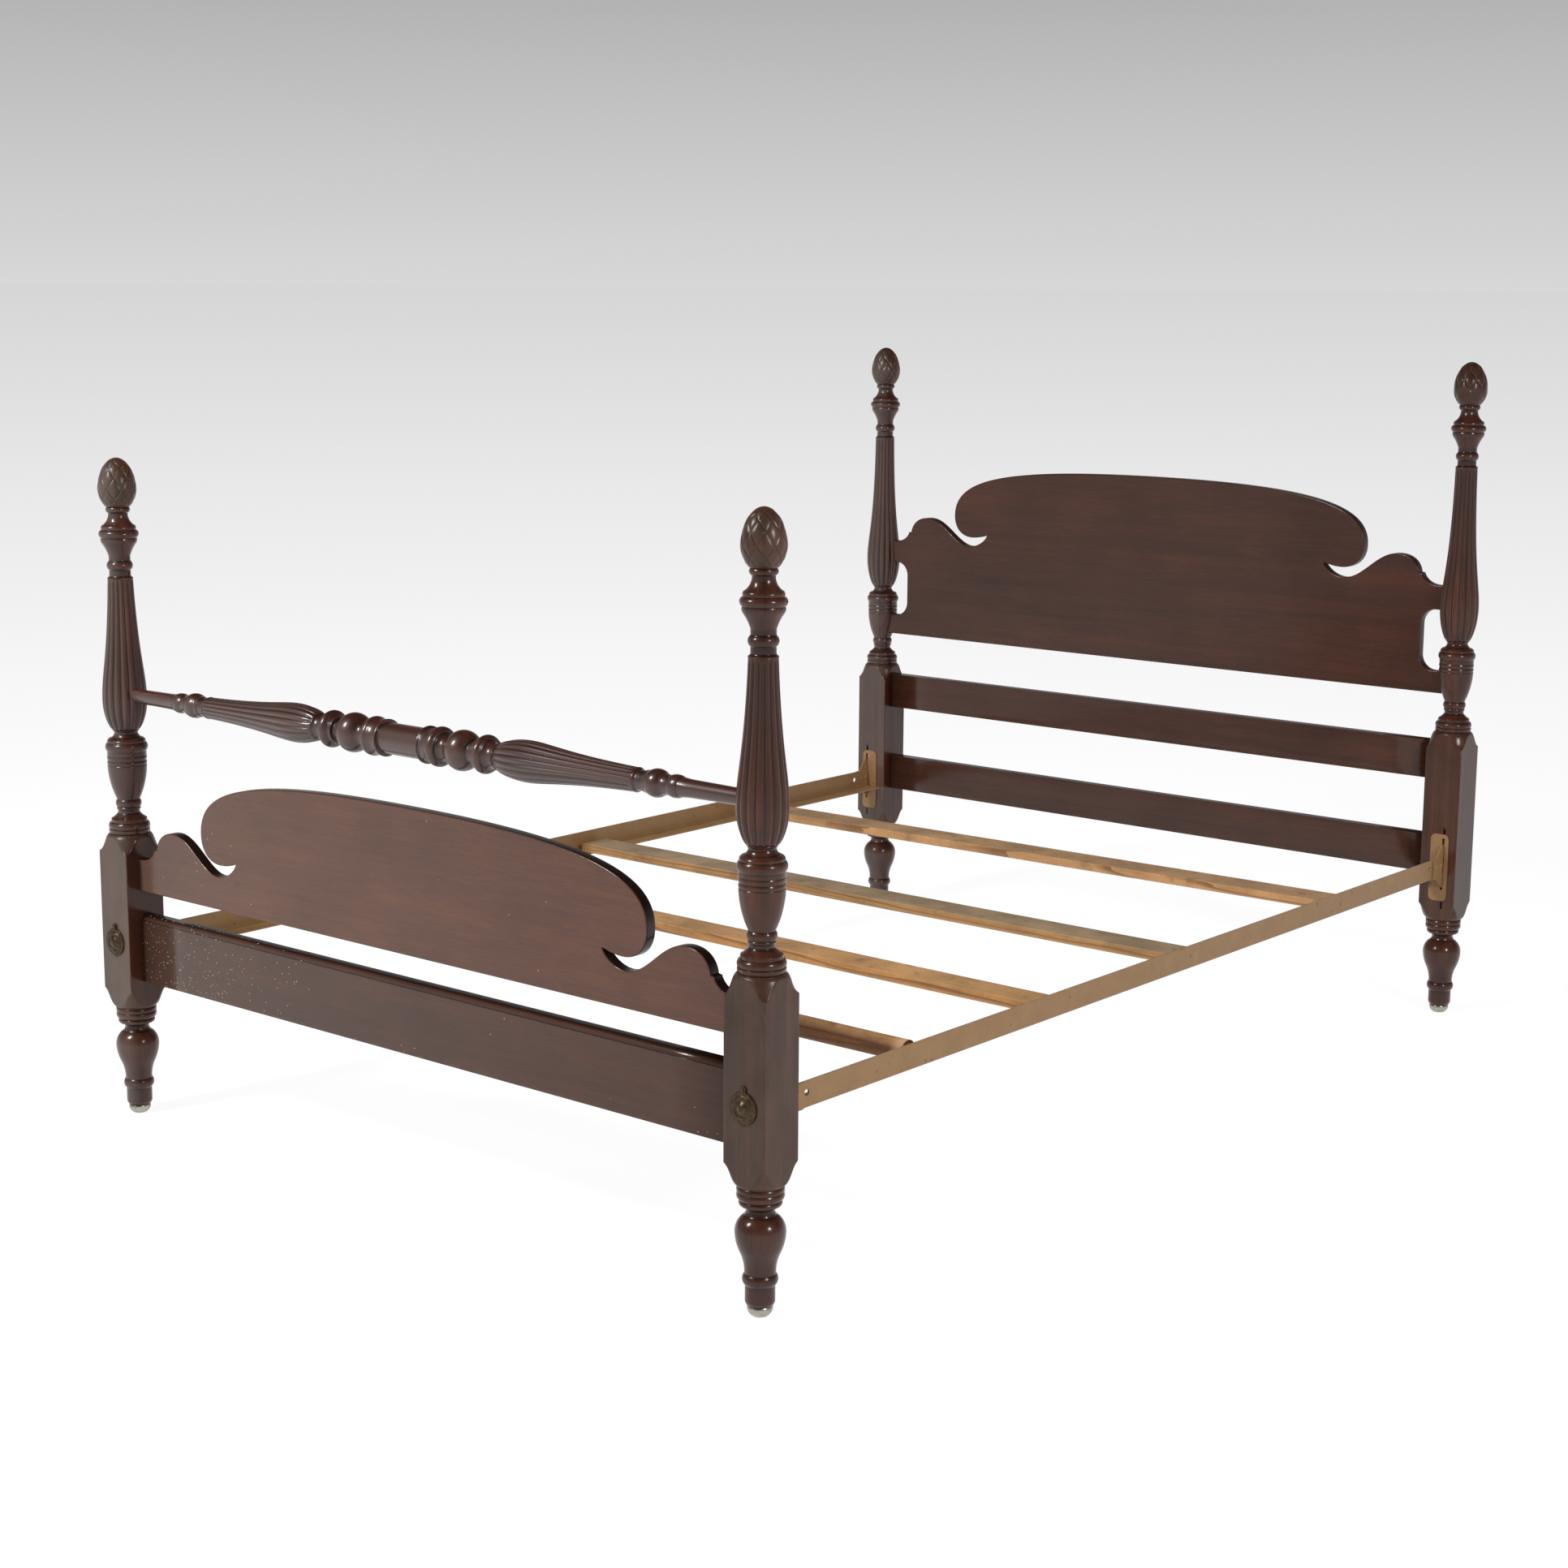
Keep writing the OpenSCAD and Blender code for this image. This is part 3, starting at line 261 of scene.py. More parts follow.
def mark_surface(mesh):
    """Two vertex attributes. facing is the normal. hollow, in 1/mm, is the mean over a vertex's edges of
    twice the neighbour's height over the tangent plane, divided by the edge's length squared: over 0 in
    grooves and under 0 on arrises. It is averaged twice with the neighbours."""
    co = read(mesh.vertices, "co", 3).astype(float) * 1000
    normal = read(mesh.vertices, "normal", 3)
    ends = read(mesh.edges, "vertices", 2, np.int32)
    span = co[ends[:, 1]] - co[ends[:, 0]]
    square = np.maximum((span ** 2).sum(1), .04)
    total, count = np.zeros(len(co)), np.zeros(len(co))
    for here, sign in ((0, 1), (1, -1)):
        height = sign * (span * normal[ends[:, here]]).sum(1)
        np.add.at(total, ends[:, here], 2 * height / square)
        np.add.at(count, ends[:, here], 1)
    hollow = total / np.maximum(count, 1)
    for _ in range(2):
        near = hollow.copy()
        np.add.at(near, ends[:, 0], hollow[ends[:, 1]])
        np.add.at(near, ends[:, 1], hollow[ends[:, 0]])
        hollow = near / (count + 1)
    mesh.attributes.new("hollow", "FLOAT", "POINT").data.foreach_set("value", hollow.astype(np.float32))
    mesh.attributes.new("facing", "FLOAT_VECTOR", "POINT").data.foreach_set("vector", normal.ravel())


def mark_wear_and_haze(mesh, shells, which, wear_and_haze):
    """Vertex attribute of wear and painted haze, from 0 to 1: the values given for one shell, where the
    polish has dulled and a haze is painted, and 0 on the others."""
    values = [wear_and_haze if k == which else np.zeros(len(shell[0])) for k, shell in enumerate(shells)]
    values = np.concatenate(values).astype(np.float32)
    mesh.attributes.new("wear_and_haze", "FLOAT", "POINT").data.foreach_set("value", values)


def placed(name, data):
    """A new object in the scene."""
    made = bpy.data.objects.new(name, data)
    bpy.context.scene.collection.objects.link(made)
    return made


def piece(name, mesh, body, finish, node_name):
    """A finished object from its mesh: it rides on its body and stands for its CAD node."""
    mark_surface(mesh)
    made = placed(name, mesh)
    mesh.materials.append(finish)
    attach(made, body)
    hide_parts(node_name)
    return made


def cut(mesh, cutters):
    """The mesh less the cutters' meshes."""
    stock = placed("stock", mesh)
    tools = [placed("tool", cutter) for cutter in cutters]
    for tool in tools:
        step = stock.modifiers.new("cut", "BOOLEAN")
        step.operation, step.solver, step.object = "DIFFERENCE", "EXACT", tool
    bpy.context.view_layer.update()
    done = bpy.data.meshes.new_from_object(stock.evaluated_get(bpy.context.evaluated_depsgraph_get()))
    for used in (stock, *tools):
        bpy.data.objects.remove(used)
    return done


def shell_of(mesh):
    """A mesh's points in mm and its faces, grouped by how many corners they have."""
    corner = read(mesh.loops, "vertex_index", 1, np.int32)[:, 0]
    start = read(mesh.polygons, "loop_start", 1, np.int32)
    size = read(mesh.polygons, "loop_total", 1, np.int32)[:, 0]
    groups = [corner[start[size == n] + np.arange(n)] for n in np.unique(size)]
    return (read(mesh.vertices, "co", 3).astype(float) * 1000, *groups)


# ---- turned pieces ----
def rings(radius, angle, height):
    """Grid of rings from a radius for each row and angle, the angles, and a height for each row."""
    return np.stack([radius * np.cos(angle), radius * np.sin(angle), height + 0 * angle], -1)


def round_angles(n):
    """n even angles of a full turn."""
    return np.arange(n) * 2 * np.pi / n


def turning(path, n=112):
    """Ring grid of a lathe form: the (radius, height) path turned through n even angles."""
    return rings(path[:, :1], round_angles(n), path[:, 1:])


def along_x(grid):
    """A lathe form's grid, laid down so that its height runs along X."""
    return grid[..., [2, 0, 1]]


def reeded(vase, height, lift):
    """Ring grid of a reeded vase: the vase's Bezier radius R, less a circular hollow on both sides of
    each reed. With u even from -1 to 1 across a reed and t = u |u|^-0.1, the radius is R (1 - sink (1 -
    sqrt(1 - (k t)^2)) / (1 - sqrt(1 - k^2))), and sink fades as a quarter sine over the last few mm at
    both ends."""
    curve = np.concatenate([bezier(VASES[vase][0], 60), bezier(VASES[vase][1], 200)[1:]])
    # rows stand close together at both ends, where the reeds die out
    edge = np.array([0, 1, 2.2, 3.6, 5.2, 7, 9, 11.5])
    at = np.unique(np.r_[edge, np.linspace(14, height - 14, 46), height - edge])
    radius = np.interp(at, curve[:, 1] * height, curve[:, 0])[:, None]
    sink = REED_SINK * np.sin(np.pi / 2 * np.clip(np.minimum(at, height - at) / REED_END, 0, 1))[:, None]
    n = REEDS * REED_POINTS
    u = 2 * (np.arange(n) % REED_POINTS) / REED_POINTS - 1
    t, k = np.sign(u) * np.abs(u) ** .9, .9
    dip = (1 - np.sqrt(1 - (k * t) ** 2)) / (1 - math.sqrt(1 - k * k))
    return rings(radius * (1 - sink * dip), round_angles(n), (at + lift)[:, None])


def square_block(top):
    """Ring grid of a post's block: the lathe's radius R(z) and the blank's square S(angle) blended as
    (R^-p + S^-p)^(-1/p), which is the smaller of the two with its edges eased by a fraction of a
    millimetre."""
    leg = [(33, LEG_TOP - 1), (33, LEG_TOP)]
    neck = [(33.2, top + SHOULDER), (33.2, top + SHOULDER + 1)]
    lower = eased(np.concatenate([leg, bezier(LOWER_COVE, 60) + [0, BLOCK_FOOT]]), .5, run=.7)
    upper = eased(np.concatenate([bezier(UPPER_COVE, 60) + [0, top], neck]), .5, run=.7)
    between = np.linspace(lower[-1], upper[0], 14)[1:-1]
    path = np.concatenate([lower, between, upper])
    # tangents of the angles across half a face, closer together by its edge
    half_face = np.r_[0, np.linspace(.03, .96, 27), .975, .986, .993, .9975]
    face = np.arctan(np.r_[-1, -half_face[:0:-1], half_face])
    angle = np.concatenate([face + quarter * np.pi / 2 for quarter in range(4)])
    square = POST / (np.abs(np.cos(angle)) ** SHARP + np.abs(np.sin(angle)) ** SHARP) ** (1 / SHARP)
    radius = (path[:, :1] ** -float(SHARP) + square ** -float(SHARP)) ** (-1 / SHARP)
    return rings(radius, angle, path[:, 1:])


def box_mesh(low, high):
    """Closed box between two corners in mm."""
    pick = np.array([[i & 1, i >> 1 & 1, i >> 2 & 1] for i in range(8)])
    quads = np.array([[0, 2, 3, 1], [4, 5, 7, 6], [0, 1, 5, 4], [2, 6, 7, 3], [0, 4, 6, 2], [1, 3, 7, 5]])
    return mesh_of("box", [(np.where(pick, high, low), quads)], flat=range(6))


def post_cutters(end, side, x, y):
    """Closed cutters for the saw kerf that takes the side rail's hooks and, at the foot, for the bolt
    pocket."""
    hook_x = centre(f"{end}_hook_{side}")[0]
    plate_low, plate_high = extent(f"{end}_slot_plate_{side}")
    near, far = sorted([y - ENDS[end] * (POST + OVER), y - ENDS[end] * (POST - KERF_D)])
    cutters = [box_mesh([hook_x - KERF_W / 2, near, plate_low[2] - KERF_UNDER],
                        [hook_x + KERF_W / 2, far, plate_high[2] + KERF_OVER])]
    if end == "foot":
        path = np.array([(POCKET_R, 0), (POCKET_R, POCKET_D + OVER)])
        drilled = turning(path, 48)[..., [0, 2, 1]] * [1, 1, -1]
        cutters.append(mesh_of("pocket", [tube(drilled + [x, y - POST - OVER, POCKET_Z])]))
    return cutters


def post(end, side, wood):
    """One post: leg, square block with its saw kerf and bolt pocket, urn and reeded vase, as nested closed
    shells."""
    name = f"{end}_post_{side}"
    x, y, _ = centre(name)
    place = np.array([x, y, 0])
    top = BLOCK_TOP[end]
    leg = turning(eased(turned(LEG, POST_LOW[2]), .3))
    urn = turning(eased(turned(URN_ROWS, top + SHOULDER), .3))
    vase = reeded(end, VASE[end], top + SHOULDER + URN)
    block = mesh_of("block", [tube(square_block(top) + place)])
    block = shell_of(cut(block, post_cutters(end, side, x, y)))
    shells = [tube(leg + place), block, tube(urn + place), tube(vase + place)]
    mesh = mesh_of(name, shells)
    # the face towards the other post stays darker without the faded tone, as painted shade; the head's blocks
    # have faded less
    outer = np.clip((SIDES[side] * (block[0][:, 0] - x) + POST - .5) / 3, 0, 1)
    mark_wear_and_haze(mesh, shells, 1, outer * (1 if end == "foot" else .35))
    return piece(f"turned_{name}", mesh, BED, wood, name)


def acorn_grid():
    """Ring grid of an acorn, whose radius is its profile less two families of spiral grooves. With s the
    length along the profile and m the rise over run, phi is the sum of ds / (m r), so that the diamonds
    keep their shape as they shrink to the tip, and groove lines are where GROOVES (angle +- phi) / 2 pi
    is whole. At d mm from a line the depth is 0.7 exp(-(d / 1.3)^2) + 0.6 exp(-(d / 4)^2), and one family
    is cut a fifth shallower."""
    profile = np.concatenate([turned(FINIAL[-2:]), bezier(ACORN, 200)[1:]])
    path = eased(profile, .3, turn=4, run=.75)
    path[:, 0] = np.maximum(path[:, 0], .02)
    radius, height = path[:, :1], path[:, 1:]
    angle = round_angles(256)
    step = np.hypot(*np.diff(path, axis=0).T)
    phi = np.r_[0, np.cumsum(step / (GROOVE_RISE * np.maximum(path[:-1, 0], 9)))][:, None]
    lean = GROOVE_RISE / math.hypot(GROOVE_RISE, 1)
    depth = 0
    for way, share in ((1, 1.0), (-1, .8)):
        turns = GROOVES * (angle + way * phi + .35 * way) / (2 * np.pi)
        off = np.abs(turns - np.round(turns)) * 2 * np.pi * radius / GROOVES * lean
        depth = np.maximum(depth, share * (.7 * np.exp(-(off / 1.3) ** 2) + .6 * np.exp(-(off / 4) ** 2)))
    # the grooves run out over 6 mm at the acorn's foot and 5 mm at its tip
    foot, tip = FINIAL[-2][1] + 2, ACORN[-1][1] - .8
    depth = depth * np.clip((height - foot) / 6, 0, 1) * np.clip((tip - height) / 5, 0, 1)
    return rings(radius - depth, angle, height)


def finial(end, side, wood):
    """One finial: a turning with a carved acorn on top."""
    name = f"{end}_finial_{side}"
    x, y, _ = centre(name)
    place = np.array([x, y, POST_TOP[end]])
    shells = [tube(turning(eased(turned(FINIAL[:-1]), .3)) + place), tube(acorn_grid() + place)]
    mesh = mesh_of(name, shells)
    mark_wear_and_haze(mesh, shells, 1, np.full(len(shells[1][0]), .9 if end == "foot" else .5))
    return piece(f"carved_{name}", mesh, BED, wood, name)


def blanket_rail(wood):
    """The long turning between the foot posts: middle beads, a reeded vase each way and round ends,
    turned about X."""
    vase_x = MIDDLE[-1][1]
    vase_l = (SPAN - vase_x - STEM[-1][1]) * BAR_VASE
    stem_x = vase_x + vase_l
    middle = eased(turned(MIDDLE), .3)
    both = np.concatenate([(middle * [1, -1])[:0:-1], middle])
    end = np.array([(BAR_R + 1, stem_x + STEM[-1][1] + 15), (BAR_R, SPAN - 12), (BAR_R, BAR_END)])
    stem = eased(np.concatenate([turned(STEM, stem_x), end]), .3, run=12)
    right = [along_x(grid) for grid in (reeded("rail", vase_l, vase_x), turning(stem, 96))]
    left = [grid[:, ::-1] * [-1, 1, 1] for grid in right]
    shells = [tube(grid + centre("blanket_rail")) for grid in (along_x(turning(both)), *right, *left)]
    mesh = mesh_of("blanket_rail", shells)
    return piece("turned_blanket_rail", mesh, BED, wood, "blanket_rail")


# ---- boards, rails and slats ----
def crest(shoulder):
    """Right half of the scrolled crest, from the middle to the shoulder by the post, as (x, z) points."""
    nose, nose_z = SPAN - SCROLL[0][0][0], SCROLL[0][0][1]
    crown = bezier([(0, CREST), (nose * .75, CREST), (nose, CREST - 29), (nose, nose_z)], 90)
    scroll = [bezier(corners, 40) * [-1, 1] + [SPAN, 0] for corners in SCROLL]
    return np.concatenate([crown, *scroll]) + [0, shoulder]


def foot_half():
    """The foot board's right half: crest, straight side in the post, lower edge."""
    low, high = extent("foot_board")
    shoulder = high[2] - CREST
    return np.concatenate([crest(shoulder), [(BOARD_END, shoulder), (BOARD_END, low[2]), (0, low[2])]])


def head_half():
    """The headboard's right half: crest, upper tab, the rounded notch beside the post, lower tab, lower
    edge."""
    board_low, board_high = extent("head_board")
    foot, shoulder = board_low[2], board_high[2] - CREST
    inner, low, high = SPAN - NOTCH_W, foot + LOW_TAB, shoulder - HIGH_TAB
    a = np.linspace(0, np.pi / 2, 24)
    corner = inner + NOTCH_R
    upper = np.stack([corner - NOTCH_R * np.sin(a), high - NOTCH_R + NOTCH_R * np.cos(a)], 1)
    lower = np.stack([corner - NOTCH_R * np.cos(a), low + NOTCH_R - NOTCH_R * np.sin(a)], 1)
    return np.concatenate([crest(shoulder), [(BOARD_END, shoulder), (BOARD_END, high)], upper, lower,
                           [(BOARD_END, low), (BOARD_END, foot), (0, foot)]])


def board(name, node_name, half, wood):
    """A sawn board with rounded arrises: its outline, mirrored about x = 0, is set back by e (1 - sin a)
    at the depth e (1 - cos a) from either face, and each ring of the outline joins the next."""
    low, high = extent(node_name)
    half = thinned(half, .6)
    outline = np.concatenate([half, (half * [-1, 1])[-2:0:-1]])[::-1]
    edge = np.roll(outline, -1, 0) - outline
    out = np.stack([edge[:, 1], -edge[:, 0]], 1) / np.hypot(*edge.T)[:, None]
    join = out + np.roll(out, 1, 0)
    join /= np.maximum((join * out).sum(1), .7)[:, None]
    a = np.linspace(0, np.pi / 2, 6)
    back, deep = BOARD_ARRIS * (1 - np.sin(a)), BOARD_ARRIS * (1 - np.cos(a))
    flat = outline - join * np.r_[back, back[::-1]][:, None, None]
    y = np.r_[low[1] + deep, high[1] - deep[::-1]][:, None] + 0 * flat[..., 0]
    grid = np.stack([flat[..., 0], y, flat[..., 1]], -1)
    rows, n = grid.shape[:2]
    quads = ring_quads(rows, n)[:, ::-1]
    faces = np.stack([np.arange(n), (rows - 1) * n + np.arange(n)[::-1]])
    mesh = mesh_of(name, [(grid.reshape(-1, 3), quads, faces)], flat=(len(quads), len(quads) + 1))
    return piece(name, mesh, BED, wood, node_name)


def plain_section(node_name, width=None):
    """Rectangle of a CAD node's own height, and of its own width unless one is given, as for a skewed
    slat."""
    low, high = extent(node_name)
    half = (width or high[1] - low[1]) / 2
    return [(-half, low[2]), (half, low[2]), (half, high[2]), (-half, high[2])]


def moulded_section(node_name):
    """Foot rail's section: a flat front, a quirk and a quarter round on its upper front edge."""
    low, high = extent(node_name)
    half, top = (high[1] - low[1]) / 2, high[2]
    a = np.linspace(np.pi / 2, 0, 16)
    edge = np.stack([QUIRK - half + OVOLO_D * (1 - np.cos(a)), top - OVOLO_H * (1 - np.sin(a))], 1)
    quirk = top - OVOLO_H - QUIRK
    return np.concatenate([[(-half, low[2]), (half, low[2]), (half, top)], edge,
                           [(QUIRK - half, quirk), (-half, quirk)]])


def rail(name, node_name, section, reach, wood, body=BED, wave=0.0, skew=0.0, seed=0):
    """A straight piece: a (y, z) section, anticlockwise round the CAD node's middle, carried along X from
    -reach to reach. wave is how many mm slow sines lift and shift it by, as sawn stock runs, and skew
    turns it about Z by that many degrees."""
    loop = eased(np.asarray(section, float), .9, turn=14, run=16, closed=True)
    along = np.linspace(-reach, reach, 60 if wave else 12)[:, None]
    phase = np.array([.7, 2.1, 4.4]) * (seed + 1)
    shift = wave * (np.sin(along / 210 + phase[0]) + .5 * np.sin(along / 83 + phase[1]))
    lift = wave * .4 * (np.sin(along / 160 + phase[2]) - 1.2)
    upper = loop[:, 1] > loop[:, 1].mean()
    grid = np.stack([along + 0 * loop[:, 0], loop[:, 0] + shift, loop[:, 1] + lift * upper], -1)
    c, s = math.cos(math.radians(skew)), math.sin(math.radians(skew))
    grid = grid @ np.array([[c, s, 0], [-s, c, 0], [0, 0, 1]]) + [0, centre(node_name)[1], 0]
    return piece(name, mesh_of(name, [tube(grid)]), body, wood, node_name)


def round_pole(wood):
    """The round pole: a bar along X with eased ends, whose radius wanders by slow sines of up to 0.8 mm."""
    low, high = extent("slat_pole")
    radius = (high[2] - low[2]) / 2
    a = np.linspace(0, np.pi / 2, 6)
    inset, drop = POLE_ARRIS * (1 - np.cos(a)), POLE_ARRIS * (1 - np.sin(a))
    straight = SLAT_END - POLE_ARRIS - .2
    x = np.r_[SLAT_END - inset[::-1], np.linspace(straight, -straight, 70), inset - SLAT_END]
    r = radius - np.r_[drop, np.zeros(70), drop[::-1]] - .2 * (2 + np.sin(x / 130) + np.sin(x / 47 + 1))
    grid = along_x(turning(np.stack([r, x], 1), 56))[::-1]
    mesh = mesh_of("pole", [tube(grid + centre("slat_pole"))])
    return piece("planed_pole", mesh, "slat_pole", wood, "slat_pole")


# ---- finishes ----
def colour(code):
    """sRGB hex to linear RGBA."""
    c = np.array([int(code[i:i + 2], 16) for i in (1, 3, 5)]) / 255
    return (*np.where(c <= .04045, c / 12.92, ((c + .055) / 1.055) ** 2.4), 1.0)


def node(tree, kind, inputs=None, stops=None, **settings):
    """Adds a node to a tree. settings are its properties, an input is a value, an output socket or a
    node, of which the first output is meant, and stops are the places and colours of a ramp."""
    made = tree.nodes.new("ShaderNode" + kind)
    for key, value in settings.items():
        setattr(made, key, value)
    for key, value in (inputs or {}).items():
        if isinstance(value, bpy.types.Node):
            value = value.outputs[0]
        if isinstance(value, bpy.types.NodeSocket):
            tree.links.new(value, made.inputs[key])
        else:
            made.inputs[key].default_value = value
    if stops:
        ramp = made.color_ramp
        while len(ramp.elements) < len(stops):
            ramp.elements.new(.5)
        for element, (place, code) in zip(ramp.elements, stops):
            element.position = place
            element.color = colour(code)
    return made


def new_material(name):
    """An empty material and its node tree."""
    made = bpy.data.materials.new(name)
    made.use_nodes = True
    made.node_tree.nodes.clear()
    return made, made.node_tree


def clouds(tree, at, scale, detail, rough, between, gives):
    """Noise, stretched so that its values between two limits give those between two others."""
    noise = node(tree, "TexNoise", {"Vector": at, "Scale": scale, "Detail": detail, "Roughness": rough})
    return node(tree, "MapRange", {"Value": noise, "From Min": between[0], "From Max": between[1],
                                   "To Min": gives[0], "To Max": gives[1]})


def tinted(tree, wood, code, value, between, most):
    """The wood with a colour laid over it: not at all where the value is at its first limit, and by the share
    most at its second."""
    cover = node(tree, "MapRange", {"Value": value, "From Min": between[0], "From Max": between[1],
                                    "To Max": most})
    return node(tree, "Mix", {"Factor": cover, 6: wood, 7: colour(code)}, data_type="RGBA").outputs[2]


def mahogany_grain(tree, at, long, pores, stain):
    """Stained mahogany: colour bands, and the tone of growth streaks, slow mottling and dark pores."""
    # bands about 25 mm wide across the grain
    bands = node(tree, "TexNoise", {"Vector": long, "Scale": 38, "Detail": 4, "Roughness": .55,
                                    "Distortion": .6})
    wood = node(tree, "ValToRGB", {"Fac": bands}, list(zip((.30, .5, .72), stain)))
    # growth streaks of about 3 mm, and mottling over some 140 mm
    streaks = clouds(tree, long, scale=330, detail=3, rough=.6, between=(.3, .7), gives=(.88, 1.12))
    mottle = clouds(tree, at, scale=7, detail=2, rough=.5, between=(.3, .7), gives=(.86, 1.14))
    pore = node(tree, "MapRange", {"Value": pores, "From Min": .34, "From Max": .42, "To Min": .82})
    tone = node(tree, "Math", {0: streaks, 1: mottle}, operation="MULTIPLY")
    return wood, node(tree, "Math", {0: tone, 1: pore}, operation="MULTIPLY")


def faded_hazed_wood(tree, at, wood, wear_and_haze, fade_and_haze):
    """Adds the faded colour where the wear attribute is 1, mottled in clouds of about 60 mm: partly real
    fading, partly a painted haze of reflected light.
    """
    mottle = clouds(tree, at, scale=17, detail=3, rough=.5, between=(.38, .6), gives=(.4, 1.15))
    light = node(tree, "Math", {0: wear_and_haze, 1: mottle}, operation="MULTIPLY")
    return node(tree, "Mix", {"Factor": light, 6: wood, 7: colour(fade_and_haze)}, data_type="RGBA",
                blend_type="ADD").outputs[2]


def shaded_and_rubbed_wood(tree, at, wood, stain_and_shade):
    """Stain and old polish settled in hollows tighter than about 8 mm, with painted shade there as well, by
    the share given, and arrises tighter than about 3 mm rubbed to a lighter brown where a noise of 17 mm
    allows it."""
    curve = node(tree, "Attribute", attribute_name="hollow").outputs["Fac"]
    # hollows darkened: settled stain and painted shade
    wood = tinted(tree, wood, "#0d0605", curve, between=(.01, .13), most=stain_and_shade)
    patch = clouds(tree, at, scale=60, detail=3, rough=.6, between=(.47, .64), gives=(0, .75))
    return tinted(tree, wood, "#7d5539", curve, between=(-.18, -.5), most=patch)


def painted_haze_wood(tree, wood, front, x, painted_haze):
    """A pale sheen painted on the faces towards the foot, a painted reflection: by the share given at x =
    -0.7 m, and not at all at +0.7 m.
    """
    left = node(tree, "MapRange", {"Value": x, "From Min": .7, "From Max": -.7, "To Max": painted_haze})
    return tinted(tree, wood, "#86807a", front, between=(-.5, -1.0), most=left)


def chipped_wood(tree, at, wood, place, share):
    """Chips 1 to 2 mm across through the lacquer: in that share of the cells by the left post, thinning
    over 0.4 m, with a few more in the lowest 28 mm of the foot rail, where brooms have struck it."""
    cell = node(tree, "TexVoronoi", {"Vector": at, "Scale": 170, "Randomness": 1.0})
    near = node(tree, "MapRange", {"Value": place[0], "From Min": -.6, "From Max": -.22,
                                   "To Min": share, "To Max": .004})
    low = node(tree, "MapRange", {"Value": place[2], "From Min": .262, "From Max": .24,
                                  "To Max": .05})
    near = node(tree, "Math", {0: near, 1: low}, operation="ADD")
    pick = node(tree, "SeparateColor", {0: cell.outputs["Color"]}).outputs
    chosen = node(tree, "Math", {0: pick[0], 1: near}, operation="LESS_THAN")
    size = node(tree, "MapRange", {"Value": pick[1], "To Min": .08, "To Max": .2})
    spot = node(tree, "Math", {0: cell.outputs["Distance"], 1: size}, operation="LESS_THAN")
    spot = node(tree, "Math", {0: spot, 1: chosen}, operation="MULTIPLY")
    return node(tree, "Mix", {"Factor": spot, 6: wood, 7: colour("#b8a48e")}, data_type="RGBA").outputs[2]


